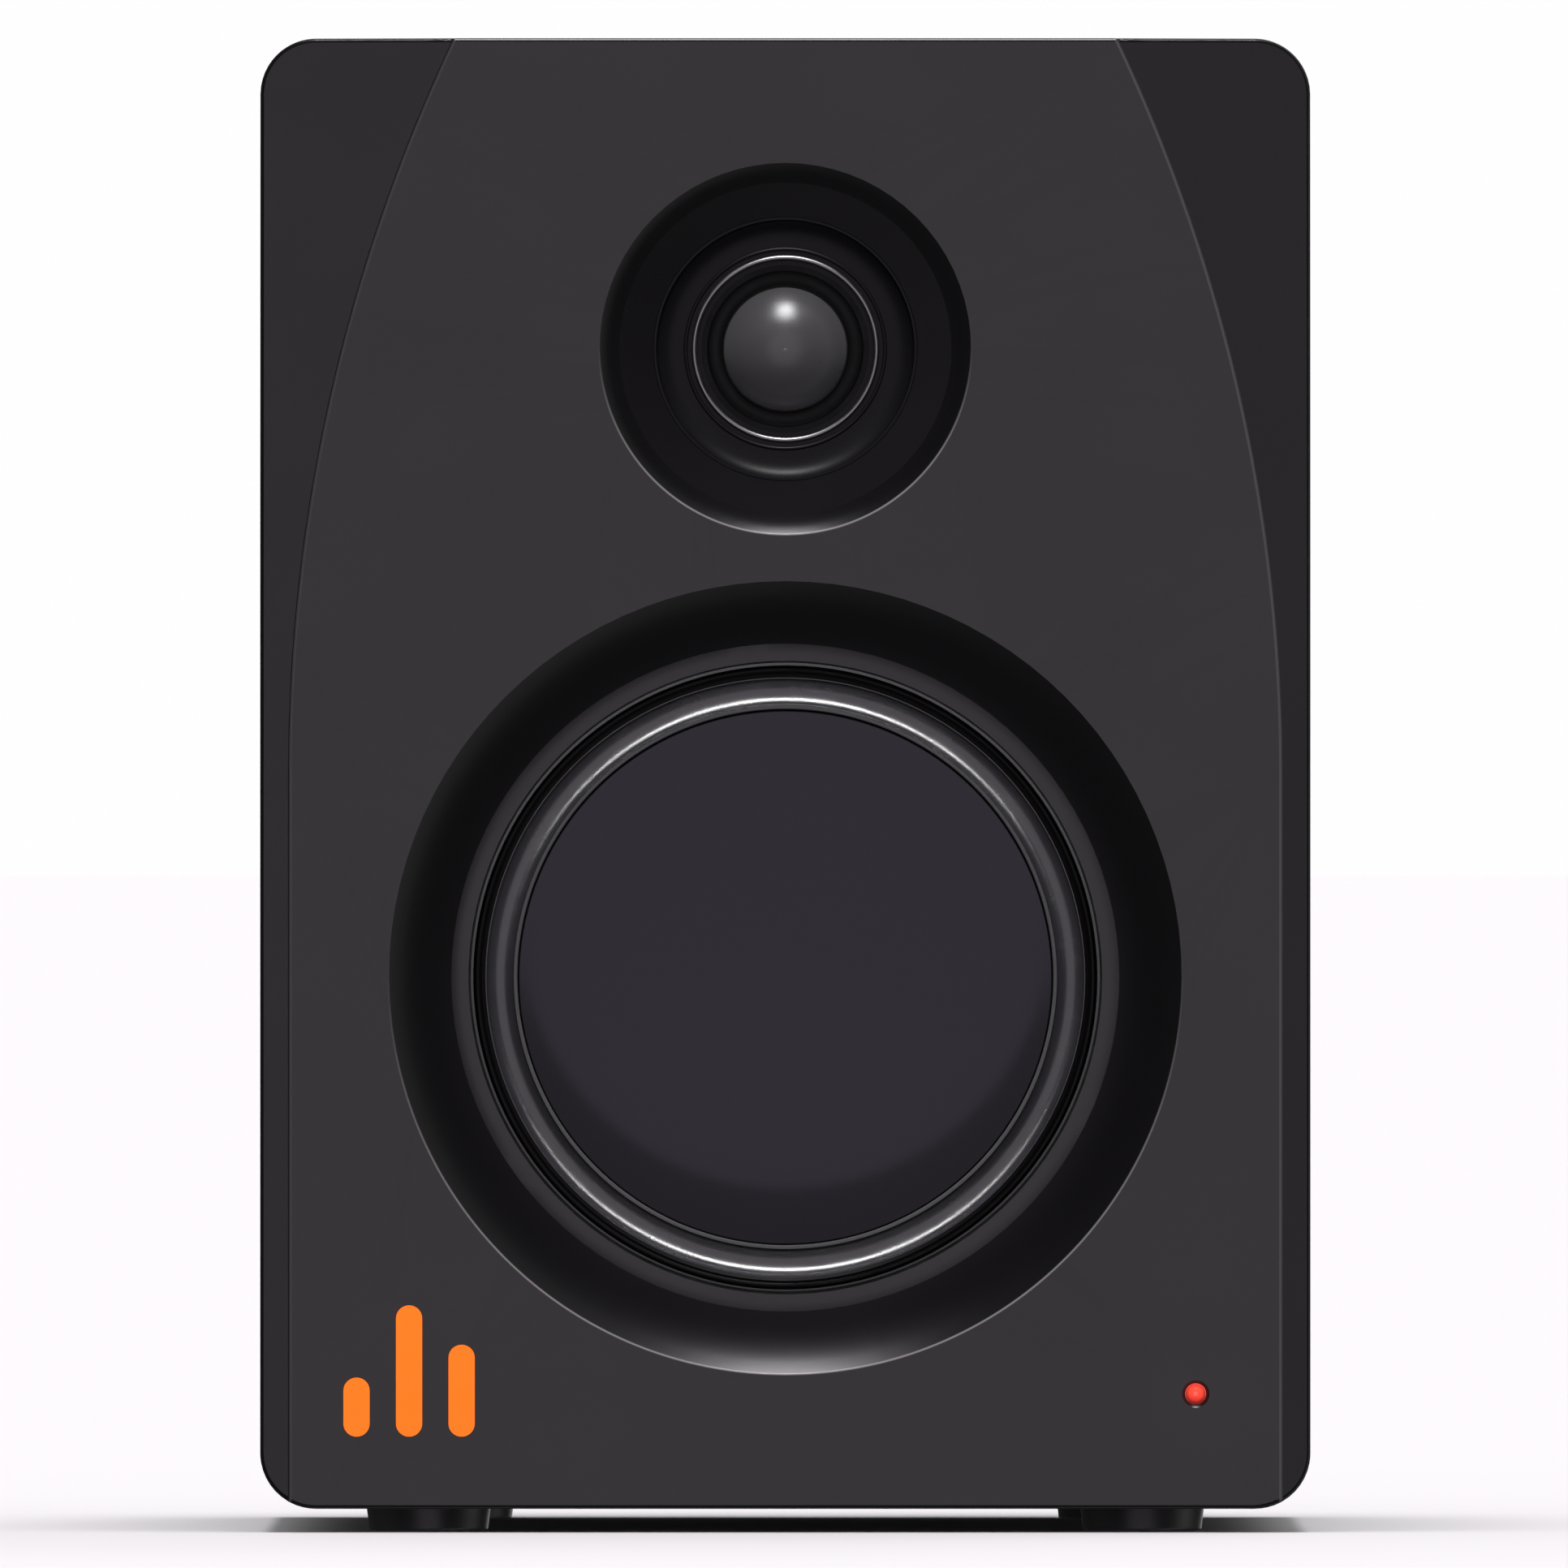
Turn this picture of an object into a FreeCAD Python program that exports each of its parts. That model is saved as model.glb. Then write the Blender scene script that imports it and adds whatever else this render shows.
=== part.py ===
import FreeCAD
import Part
import math
import os
from FreeCAD import Vector

# A small powered two-way bookshelf speaker, in millimetres.
# +Z is up, the front faces -Y, and the origin is under the middle of the whole speaker, at
# the height of the surface that the feet stand on.

# ---------------------------------------------------------------- cabinet
CABINET_WIDTH = 160.0
CABINET_HEIGHT = 224.0
BODY_DEPTH = 178.0            # front of the fascia to the back panel
KNOB_REACH = 15.0             # the knob's end, behind the back panel
CORNER_RADIUS = 8.5
PANEL = 9.0                   # board thickness
WRAP = 0.5                    # vinyl thickness

FOOT_HEIGHT = 3.6
FOOT_TOP_RADIUS = 9.5
FOOT_BOTTOM_RADIUS = 9.1
FOOT_EDGE = 0.4
FRONT_FOOT_X = 54.5
REAR_FOOT_X = 51.5
FRONT_FOOT_SETBACK = 28.0     # from the front of the fascia to the foot's axis
REAR_FOOT_SETBACK = 15.0      # from the back panel to the foot's axis

FRONT_Y = -(BODY_DEPTH + KNOB_REACH) / 2
BACK_Y = FRONT_Y + BODY_DEPTH
BOTTOM_Z = FOOT_HEIGHT
TOP_Z = BOTTOM_Z + CABINET_HEIGHT
MIDDLE_Z = (BOTTOM_Z + TOP_Z) / 2
INNER_X = CABINET_WIDTH / 2 - WRAP - PANEL
INNER_LOW_Z = BOTTOM_Z + WRAP + PANEL
INNER_HIGH_Z = TOP_Z - WRAP - PANEL

# ---------------------------------------------------------------- fascia
FASCIA_DEPTH = 14.0
FASCIA_SKIN = 3.2
FASCIA_RIM = 3.0
FASCIA_EDGE = 0.7             # rounding of the outer front edge
REVEAL = 0.8                  # shadow gap between fascia and cabinet
FACET_RADIUS = 260.2          # the swept line between the flat front and a side facet
FACET_HALF_WIDTH = 75.3       # where that line runs straight down
FACET_STRAIGHT_Z = 115.9      # below this height it is straight
FACET_SLOPE = math.radians(12.0)
FACET_BEVEL = 0.45
PEG_RADIUS = 2.9
PEG_LENGTH = 8.0
PEG_FIT = 0.1
PEG_BOSS = 1.5                # wall of the boss that each peg stands on
PEG_PLACES = [(x, z) for x in (-64.0, 64.0) for z in (36.0, 138.0, 206.0)]

BOARD_Y = FRONT_Y + FASCIA_DEPTH      # front of the front board, and of the cabinet sleeve
BOARD_BACK_Y = BOARD_Y + PANEL

# ---------------------------------------------------------------- lamp and badge
LAMP_X = 62.5
LAMP_Z = 21.1
LAMP_RADIUS = 1.5
LAMP_HOLE_RADIUS = 1.6
LAMP_SINK_RADIUS = 2.1
LAMP_FLANGE_RADIUS = 1.95
LAMP_FLANGE = 1.0
LAMP_WIRE_HOLE = 4.0
BADGE_X = -57.3
BADGE_Z = 14.6                # foot of the bars
BADGE_BAR_WIDTH = 4.0
BADGE_PITCH = 8.0
BADGE_HEIGHTS = (9.0, 20.0, 14.0)
BADGE_THICKNESS = 0.6
BADGE_FIT = 0.05

# ---------------------------------------------------------------- woofer
WOOFER_Z = 84.5
BOWL_RADIUS = 60.4
LIP_RADIUS = 48.3
LIP_THICKNESS = 4.8
BOWL_KNEE_WIDTH = 2.6         # the bowl turns up gently over this width, then steepens up to its rim
BOWL_KNEE_SLOPE = math.radians(16.5)
BOWL_RIM_SLOPE = math.radians(40.0)
WOOFER_POCKET_RADIUS = 55.0
BOWL_WALL = 3.0
FLANGE_RADIUS = 54.2
FLANGE_THICKNESS = 1.2
BASKET_RADIUS = 47.0
BASKET_SHEET = 1.0
WINDOW_RADIUS = 33.5          # the openings between the basket's arms
WINDOW_SETBACK = 9.5
WINDOW_ANGLE = 42.0
WINDOW_START = 39.0
WOOFER_SCREW_CIRCLE = 51.0
WOOFER_SCREW_HOLE = 1.6
WOOFER_CUTOUT_RADIUS = 47.3
FLANGE_LAND = 0.6             # thickness of the surround's edge, glued to the flange
TRIM_HEIGHT = 3.2             # the trim ring's raised line in front of the surround
TRIM_OUTER_RADIUS = 47.6
TRIM_LINE_RADIUS = 46.95
TRIM_LINE_HALF_WIDTH = 0.35
SURROUND_OUTER_RADIUS = 48.0
ROLL_MIDDLE_RADIUS = 43.5
ROLL_HALF_WIDTH = 2.1
ROLL_DEPTH = 1.55
SURROUND_SHEET = 0.5
SKIRT_BORE = 40.9             # the surround's skirt runs back from the roll, round the cone's edge
SKIRT_DEPTH = 6.0
SKIRT_EDGE = 0.4              # rounding of the skirt's front edge
CAP_RADIUS = 40.7
CAP_RECESS = 0.6              # from the surround's plane back to the cap's rim
CAP_DISH = 0.8                # how far the cap's middle lies behind its rim
CAP_SHEET = 0.5
CONE_SHEET = 1.0
CONE_HEIGHT = 21.8
CONE_LAND = 1.5               # width of the cone's flat edge, glued to the cap
FORMER_RADIUS = 12.7
FORMER_SHEET = 0.25
COIL_THICKNESS = 0.6
COIL_LENGTH = 8.4
POLE_RADIUS = 12.0
POLE_VENT_RADIUS = 4.0
TOP_PLATE_BORE = 13.8
TOP_PLATE_RADIUS = 33.0
TOP_PLATE_THICKNESS = 4.0
MAGNET_RADIUS = 36.0
MAGNET_BORE = 18.0
MAGNET_THICKNESS = 13.0
YOKE_THICKNESS = 4.5
BASKET_DEPTH = 33.7           # front board to the front of the top plate
TERMINAL_RADIUS = 43.5
TERMINAL_REACH = 25.0
SPIDER_SETBACK = 23.0         # front board to the ledge that holds the spider
SPIDER_RADIUS = 30.5
SPIDER_SHEET = 0.4
SPIDER_GAP = 0.15
SPIDER_WAVE_INNER = 15.0
SPIDER_WAVE_OUTER = 26.2
SPIDER_WAVES = 7
SPIDER_SAG = 0.6

FLANGE_Y = BOARD_Y - FLANGE_THICKNESS
SURROUND_Y = FLANGE_Y - FLANGE_LAND
TRIM_Y = SURROUND_Y - TRIM_HEIGHT
CAP_RIM_Y = SURROUND_Y + CAP_RECESS
TOP_PLATE_Y = BOARD_Y + BASKET_DEPTH
MAGNET_Y = TOP_PLATE_Y + TOP_PLATE_THICKNESS
YOKE_Y = MAGNET_Y + MAGNET_THICKNESS
NECK_Y = CAP_RIM_Y + CAP_SHEET + CONE_HEIGHT

# ---------------------------------------------------------------- tweeter
TWEETER_Z = 180.3
HORN_RADIUS = 28.3
HORN_END_RADIUS = 20.2        # where the fascia ends and the hub shows
HORN_RIM_WIDTH = 3.0          # the rounded rim; inside it the horn is a plain cone
HORN_CONE_SLOPE = math.radians(18.0)
HORN_RIM_SLOPE = math.radians(41.0)
HORN_LIP = 2.45
HUB_STEP = 0.4                # the hub's face lies this far behind the horn's inner end
TWEETER_POCKET_RADIUS = 27.0
FACEPLATE_RADIUS = 26.0
HUB_RADIUS = 20.0
HUB_BOWL_RADIUS = 19.7
HUB_FLOOR_RADIUS = 16.6
HUB_BOWL_DEPTH = 1.9
HUB_BORE = 12.75
RING_RADIUS = 13.9
RING_HALF_WIDTH = 0.42
RING_RISE = 0.2               # the ring's straight side above the hub's floor
RIDGE_RADIUS = 15.2
RIDGE_HALF_WIDTH = 0.3
RIDGE_HEIGHT = 0.35
DOME_RADIUS = 9.35
DOME_HEIGHT = 5.2
DOME_SHEET = 0.25
DOME_SETBACK = 0.4            # the dome's foot behind the hub's floor
DOME_ROLL_OUTER = 11.9
DOME_ROLL_INNER = 9.55
DOME_ROLL_HEIGHT = 0.8
TWEETER_SCREW_CIRCLE = 23.0
TWEETER_SCREW_HOLE = 1.3
TWEETER_SCREW_SINK = 1.7
TWEETER_SCREW_HEAD = 2.2
TWEETER_POLE_RADIUS = 8.75
TWEETER_GAP_RADIUS = 10.2
TWEETER_YOKE_RADIUS = 13.5
CHAMBER_RADIUS = 17.0
CHAMBER_WALL = 1.2
CHAMBER_EDGE = 1.5            # rounding of the can's rear edge
CHAMBER_DEPTH = 17.0
TWEETER_CUTOUT_RADIUS = 18.5

# ---------------------------------------------------------------- back panel and its pieces
GASKET = 0.8
PLATE_WIDTH = 128.0
PLATE_HEIGHT = 130.0
PLATE_THICKNESS = 2.0
PLATE_Z = 82.0
PLATE_CORNER = 4.0
CUTOUT_WIDTH = 112.0
CUTOUT_HEIGHT = 114.0
PLATE_SCREW_X = 60.0
PLATE_SCREW_ROWS = (21.5, 61.8, 102.2, 142.5)
PLATE_SCREW_HOLE = 1.6
PLATE_IN_Y = BACK_Y + GASKET
PLATE_Y = PLATE_IN_Y + PLATE_THICKNESS     # outer face of the amplifier plate
END_Y = BACK_Y + KNOB_REACH

PORT_Z = 182.0
PORT_BORE = 16.0
PORT_WALL = 2.0
PORT_LENGTH = 75.0
PORT_MOUTH_RADIUS = 25.5
PORT_FLARE = 14.0
PORT_COLLAR_RADIUS = 26.0
PORT_FLANGE_RADIUS = 29.5
PORT_FLANGE = 2.0

CONTROL_Z = 122.0
KNOB_X = 34.0
KNOB_RADIUS = 8.5
KNOB_TOP_RADIUS = 7.6
KNOB_GAP = 0.7
KNOB_FLUTES = 20
KNOB_HOLLOW_RADIUS = 6.6
KNOB_CHAMFER = 0.8
KNOB_CAP = 2.5                # thickness of the knob's end, where the shaft stops
KNOB_HUB_LIFT = 3.9           # from the plate to the knob's inner hub
SHAFT_RADIUS = 3.0
SHAFT_FIT = 0.05
BUSHING_RADIUS = 3.5
POT_RADIUS = 8.0
TRIM_SWITCH_X = 12.0
TRIM_TRAVEL = 2.0
TRIM_LEVER = 3.8
RCA_X = -12.0
RCA_RADIUS = 4.15
RCA_WALL = 0.6
RCA_FLANGE_RADIUS = 5.4
RCA_REACH = 9.5
RCA_PIN_BORE = 1.65
RCA_BODY_DEPTH = 11.0
JACK_X = -38.0
JACK_BORE = 3.25
JACK_BUSHING_RADIUS = 4.5
JACK_BODY_LENGTH = 24.0
INPUT_BOARD_Z = 113.0         # top face of the board under the jacks
CIRCUIT_BOARD = 1.6

SWITCH_X = 38.0
SWITCH_Z = 46.0
SWITCH_WIDTH = 15.0
SWITCH_HEIGHT = 23.0
SWITCH_BODY_WIDTH = 13.6
SWITCH_BODY_HEIGHT = 20.4
SWITCH_DEPTH = 14.0
SWITCH_FLANGE = 2.0
ROCKER_RADIUS = 8.6
ROCKER_WIDTH = 11.4
ROCKER_TILT = 12.0            # degrees each way from level
ROCKER_PIN_RADIUS = 1.2
ROCKER_PIVOT_Y = PLATE_Y - 1.5
ROCKER_CORNER = 23.3          # degrees, where the rocker's outer corners lie

INLET_X = -20.0
INLET_Z = 44.0
INLET_BODY_WIDTH = 28.0
INLET_BODY_HEIGHT = 32.0
INLET_FLANGE = 2.2
INLET_DEPTH = 25.0
INLET_BORDER = 3.0            # the flange beyond the body
TAB_LENGTH = 8.0              # solder tabs behind the inlet and the switch
TAB_THICKNESS = 0.8
SOCKET_WIDTH = 24.5
SOCKET_HEIGHT = 16.8
SOCKET_DEPTH = 19.0
SOCKET_RISE = 6.0             # socket's middle above the inlet's middle
PIN_PLACES = ((-7.0, -2.0), (7.0, -2.0), (0.0, 2.0))     # from the socket's middle
DRAWER_WIDTH = 24.0
DRAWER_HEIGHT = 7.6
DRAWER_DROP = 10.6            # drawer's middle below the inlet's middle
DRAWER_DEPTH = 22.0
DRAWER_FIT = 0.15
DRAWER_REACH = 0.6            # the drawer's face in front of the inlet's
FUSE_RADIUS = 2.5
FUSE_LENGTH = 20.0

SINK_WIDTH = 100.0
SINK_LOW_Z = 66.0
SINK_HIGH_Z = 102.0
SINK_BASE = 3.0
SINK_FINS = 13
SINK_FIN = 1.8
SINK_FIN_REACH = 8.0

MAIN_BOARD_Y = BACK_Y - 15.5
MAIN_BOARD_X = 53.0
MAIN_BOARD_LOW_Z = 61.0
MAIN_BOARD_HIGH_Z = 104.0
MAIN_BOARD_ROWS = (MAIN_BOARD_LOW_Z + 4.0, MAIN_BOARD_HIGH_Z - 4.0)    # of the standoffs
STANDOFF_RADIUS = 3.0
CAPACITOR_RADIUS = 9.0
CAPACITOR_LENGTH = 26.0
CHIP_X = 16.0
CONNECTOR_Y = MAIN_BOARD_Y - 8.0
CONNECTORS = ((0.0, 98.0), (17.0, 98.0), (22.5, 66.0), (42.0, 66.0))
TOROID_Y = 18.0
TOROID_RADIUS = 32.0
TOROID_BORE = 13.0
TOROID_HEIGHT = 26.0
CLAMP_RADIUS = 19.0
PAD_THICKNESS = 9.0
PAD_HALF_DEPTH = 62.0
PAD_HALF_WIDTH = 60.0
PAD_SIDE_ENDS = (62.0, 204.0)     # foot and top of the side pads
LEAD_RADIUS = 0.9
LAMP_LEAD_RADIUS = 0.7
LEAD_TURN = 0.45              # the share of the shorter run that each bend takes up
LEAD_X = 2.5                  # half the spacing of a pair of tabs


# ---------------------------------------------------------------- helpers
def save(name, *solids):
    """Write one node, which may be a group of separate solids."""
    shape = solids[0] if len(solids) == 1 else Part.makeCompound(list(solids))
    assert shape.isValid(), name
    shape.exportStep(f"parts/{name}.step")
    print(f"{name}: {len(shape.Solids)} solid(s), {shape.Volume / 1000:.3f} cm3")


def box(x0, x1, y0, y1, z0, z1):
    return Part.makeBox(x1 - x0, y1 - y0, z1 - z0, Vector(x0, y0, z0))


def rod(radius, y0, y1, x=0.0, z=0.0):
    """A cylinder along Y."""
    return Part.makeCylinder(radius, y1 - y0, Vector(x, y0, z), Vector(0, 1, 0))


def tube(inner, outer, y0, y1, x=0.0, z=0.0):
    return rod(outer, y0, y1, x, z).cut(rod(inner, y0 - 1, y1 + 1, x, z))


def slab(width, height, corner, y0, y1, x=0.0, z=MIDDLE_Z):
    """A rounded rectangle in X and Z, from y0 to y1."""
    block = box(x - width / 2, x + width / 2, y0, y1, z - height / 2, z + height / 2)
    edges = [e for e in block.Edges if abs(e.tangentAt(e.FirstParameter).y) > 0.99]
    return block.makeFillet(corner, edges)


def point(radius, y):
    return Vector(radius, y, 0)


def flare(start, width, slope0, slope1):
    """An arc that runs outwards and forwards from start, its slope turning from slope0 to slope1.

    It returns the arc's middle and end, each as (radius, y).
    """
    (radius, y) = start
    bend = width / (math.sin(slope1) - math.sin(slope0))

    def at(slope):
        return (radius + bend * (math.sin(slope) - math.sin(slope0)),
                y - bend * (math.cos(slope0) - math.cos(slope)))

    return (at((slope0 + slope1) / 2), at(slope1))


def outline(start, *steps):
    """A closed face in the plane of radius and y.

    A step is a point, a pair of points for an arc through the first to the second, or
    (centre, half width, half depth, angle0, angle1) for a stretch of an ellipse.
    """
    edges = []
    here = point(*start)
    for step in steps:
        if len(step) == 5:
            (centre, width, depth, a0, a1) = step
            middle = point(*centre)
            if width >= depth:
                offset = 0.0
                curve = Part.Ellipse(middle + Vector(width, 0, 0), middle + Vector(0, depth, 0), middle)
            else:
                offset = math.pi / 2
                curve = Part.Ellipse(middle + Vector(0, depth, 0), middle - Vector(width, 0, 0), middle)
            edges.append(Part.ArcOfEllipse(curve, min(a0, a1) - offset, max(a0, a1) - offset).toShape())
            there = middle + Vector(width * math.cos(a1), depth * math.sin(a1), 0)
        elif isinstance(step[0], tuple):
            there = point(*step[1])
            edges.append(Part.Arc(here, point(*step[0]), there).toShape())
        else:
            there = point(*step)
            edges.append(Part.LineSegment(here, there).toShape())
        here = there
    if here.distanceToPoint(point(*start)) > 1e-6:
        edges.append(Part.LineSegment(here, point(*start)).toShape())
    return Part.Face(Part.Wire(Part.__sortEdges__(edges)))


def turned(face, x=0.0, z=0.0, angle=360.0):
    """A face in the plane of radius and y, turned about the Y axis and moved to (x, z)."""
    solid = face.revolve(Vector(0, 0, 0), Vector(0, 1, 0), angle)
    solid.translate(Vector(x, 0, z))
    return solid


def around(solid, count, x, z, first=0.0):
    """Copies of a solid, evenly spaced about the Y axis through (x, z)."""
    copies = []
    for i in range(count):
        copy = solid.copy()
        copy.rotate(Vector(x, 0, z), Vector(0, 1, 0), first + i * 360.0 / count)
        copies.append(copy)
    return copies


def mirrored(solid):
    return solid.mirror(Vector(0, 0, 0), Vector(1, 0, 0))


def screw(x, z, seat_y, head_radius, head_height, shank_radius, shank_length, facing):
    """A pan-head cross-recess screw. facing is -1 with the head towards -Y, and 1 towards +Y."""
    edge = head_height * 0.6
    face = outline(
        (0, -shank_length),
        (shank_radius, -shank_length),
        (shank_radius, 0),
        (head_radius, 0),
        (head_radius, head_height - edge),
        ((head_radius - edge * 0.3, head_height - edge * 0.3), (head_radius - edge, head_height)),
        (0, head_height),
    )
    body = turned(face)
    arm = head_radius * 0.55
    slot = head_radius * 0.13
    for cut in (box(-arm, arm, head_height * 0.35, head_height + 1, -slot, slot),
                box(-slot, slot, head_height * 0.35, head_height + 1, -arm, arm)):
        body = body.cut(cut)
    if facing < 0:
        body.rotate(Vector(0, 0, 0), Vector(0, 0, 1), 180)
    body.translate(Vector(x, seat_y, z))
    return body


def nut(across, bore, y0, y1, x, z):
    """A hexagonal nut along Y."""
    radius = across / math.sqrt(3)
    corners = [Vector(x + radius * math.cos(math.radians(a)), y0, z + radius * math.sin(math.radians(a)))
               for a in range(0, 361, 60)]
    prism = Part.Face(Part.makePolygon(corners)).extrude(Vector(0, y1 - y0, 0))
    return prism.cut(rod(bore, y0 - 1, y1 + 1, x, z))


def lead(points, radius=LEAD_RADIUS):
    """An insulated wire: straight runs joined by tangent arcs as large as the runs allow.

    It prints the tightest bend, and the wire's volume against its section times its length.
    """
    nodes = [Vector(*p) for p in points]
    edges = []
    bends = []
    here = nodes[0]
    for before, corner, after in zip(nodes, nodes[1:], nodes[2:]):
        arriving = (corner - before).normalize()
        leaving = (after - corner).normalize()
        setback = LEAD_TURN * min((corner - before).Length, (after - corner).Length)
        start = corner - arriving * setback
        end = corner + leaving * setback
        turn = arriving.getAngle(leaving)
        bend = setback / math.tan(turn / 2)
        inward = (leaving - arriving).normalize()
        middle = corner + inward * (bend / math.cos(turn / 2) - bend)
        edges.append(Part.LineSegment(here, start).toShape())
        edges.append(Part.Arc(start, middle, end).toShape())
        bends.append(bend)
        here = end
    edges.append(Part.LineSegment(here, nodes[-1]).toShape())
    path = Part.Wire(edges)
    ring = Part.Wire(Part.makeCircle(radius, nodes[0], nodes[1] - nodes[0]))
    wire = path.makePipeShell([ring], True, False)
    expected = math.pi * radius ** 2 * path.Length
    print(f"lead: tightest bend {min(bends):.1f} mm, volume {wire.Volume:.1f} of {expected:.1f} mm3")
    return wire


# ---------------------------------------------------------------- cabinet
def cabinet_panels():
    sleeve = slab(CABINET_WIDTH - 2 * WRAP, CABINET_HEIGHT - 2 * WRAP, CORNER_RADIUS - WRAP,
                  BOARD_Y, BACK_Y)
    right = sleeve.common(box(INNER_X, CABINET_WIDTH, BOARD_Y, BACK_Y, 0, TOP_Z))
    top = box(-INNER_X, INNER_X, BOARD_Y, BACK_Y, INNER_HIGH_Z, TOP_Z - WRAP)
    bottom = box(-INNER_X, INNER_X, BOARD_Y, BACK_Y, BOTTOM_Z + WRAP, INNER_LOW_Z)
    bolt_hole = Part.makeCylinder(3.2, PANEL + 2, Vector(0, TOROID_Y, BOTTOM_Z + WRAP + 3.5))
    save("cabinet_side_panels", right, mirrored(right))
    save("cabinet_end_panels", top, bottom.cut(bolt_hole))
    outer = slab(CABINET_WIDTH, CABINET_HEIGHT, CORNER_RADIUS, BOARD_Y, BACK_Y)
    save("vinyl_wrap", outer.cut(sleeve))


def front_board():
    board = box(-INNER_X, INNER_X, BOARD_Y, BOARD_BACK_Y, INNER_LOW_Z, INNER_HIGH_Z)
    ends = (BOARD_Y - 1, BOARD_BACK_Y + 1)
    cuts = [
        rod(WOOFER_CUTOUT_RADIUS, *ends, 0, WOOFER_Z),
        rod(TWEETER_CUTOUT_RADIUS, *ends, 0, TWEETER_Z),
        rod(LAMP_WIRE_HOLE, *ends, LAMP_X, LAMP_Z),
    ]
    for x, z in PEG_PLACES:
        cuts.append(rod(PEG_RADIUS + PEG_FIT, *ends, x, z))
    woofer_hole = rod(WOOFER_SCREW_HOLE, *ends, 0, WOOFER_Z + WOOFER_SCREW_CIRCLE)
    tweeter_hole = rod(TWEETER_SCREW_HOLE, *ends, 0, TWEETER_Z + TWEETER_SCREW_CIRCLE)
    cuts += around(woofer_hole, 4, 0, WOOFER_Z, 45)
    cuts += around(tweeter_hole, 3, 0, TWEETER_Z)
    save("front_board", board.cut(cuts))


def back_panel():
    panel = box(-INNER_X, INNER_X, BACK_Y - PANEL, BACK_Y, INNER_LOW_Z, INNER_HIGH_Z)
    cuts = [
        slab(CUTOUT_WIDTH, CUTOUT_HEIGHT, PLATE_CORNER, BACK_Y - PANEL - 1, BACK_Y + 1, 0, PLATE_Z),
        rod(PORT_COLLAR_RADIUS, BACK_Y - PANEL - 1, BACK_Y + 1, 0, PORT_Z),
    ]
    for x in (-PLATE_SCREW_X, PLATE_SCREW_X):
        for z in PLATE_SCREW_ROWS:
            cuts.append(rod(PLATE_SCREW_HOLE, BACK_Y - PANEL - 1, BACK_Y + 1, x, z))
    save("back_panel", panel.cut(cuts))


def feet():
    face = outline(
        (0, 0),
        (FOOT_BOTTOM_RADIUS - FOOT_EDGE, 0),
        ((FOOT_BOTTOM_RADIUS - 0.3 * FOOT_EDGE, 0.3 * FOOT_EDGE), (FOOT_BOTTOM_RADIUS, FOOT_EDGE)),
        (FOOT_TOP_RADIUS, FOOT_HEIGHT),
        (0, FOOT_HEIGHT),
    )
    foot = turned(face)
    foot.rotate(Vector(0, 0, 0), Vector(1, 0, 0), 90)
    places = [(side * FRONT_FOOT_X, FRONT_Y + FRONT_FOOT_SETBACK) for side in (-1, 1)]
    places += [(side * REAR_FOOT_X, BACK_Y - REAR_FOOT_SETBACK) for side in (-1, 1)]
    solids = []
    for x, y in places:
        copy = foot.copy()
        copy.translate(Vector(x, y, 0))
        solids.append(copy)
    save("rubber_feet", *solids)


# ---------------------------------------------------------------- fascia
def facet_cut(depth):
    """What is cut away in front of the right facet, with the surface moved back by depth."""
    reach = 60.0
    y = FRONT_Y + depth
    start = FACET_RADIUS
    face = outline(
        (start, FRONT_Y - 1),
        (start, y),
        (start + FACET_BEVEL, y + FACET_BEVEL),
        (start + reach, y + FACET_BEVEL + (reach - FACET_BEVEL) * math.tan(FACET_SLOPE)),
        (start + reach, FRONT_Y - 1),
    )
    centre_x = FACET_HALF_WIDTH - FACET_RADIUS
    swept = face.revolve(Vector(0, 0, 0), Vector(0, -1, 0), 40)
    straight = face.extrude(Vector(0, 0, -FACET_STRAIGHT_Z))
    tool = swept.fuse(straight)
    tool.translate(Vector(centre_x, 0, FACET_STRAIGHT_Z))
    return tool


def bowl_outline(lip_y):
    """The bowl's two arcs from its lip outwards."""
    knee = flare((LIP_RADIUS, lip_y), BOWL_KNEE_WIDTH, 0, BOWL_KNEE_SLOPE)
    width = BOWL_RADIUS - LIP_RADIUS - BOWL_KNEE_WIDTH
    return [knee, flare(knee[-1], width, BOWL_KNEE_SLOPE, BOWL_RIM_SLOPE)]


def horn_outline(end_y):
    """The horn's cone and rounded rim, from its inner end outwards."""
    cone_width = HORN_RADIUS - HORN_END_RADIUS - HORN_RIM_WIDTH
    corner = (HORN_END_RADIUS + cone_width, end_y - cone_width * math.tan(HORN_CONE_SLOPE))
    return [corner, flare(corner, HORN_RIM_WIDTH, HORN_CONE_SLOPE, HORN_RIM_SLOPE)]


BOWL_DEPTH = -bowl_outline(0)[-1][-1][1]
HORN_DEPTH = -horn_outline(0)[-1][-1][1]
LIP_Y = FRONT_Y + BOWL_DEPTH
HORN_END_Y = FRONT_Y + HORN_DEPTH
HUB_Y = HORN_END_Y + HUB_STEP
HUB_FLOOR_Y = HUB_Y + HUB_BOWL_DEPTH
DOME_Y = HUB_FLOOR_Y + DOME_SETBACK


def hollow(end_radius, end_y, steps, x, z):
    """The space in front of a driver: open in front, and bounded by the steps."""
    rim_radius = steps[-1][-1][0]
    face = outline(
        (0, BOARD_Y + 1),
        (end_radius, BOARD_Y + 1),
        (end_radius, end_y),
        *steps,
        (rim_radius, FRONT_Y - 1),
        (0, FRONT_Y - 1),
    )
    return turned(face, x, z)


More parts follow.
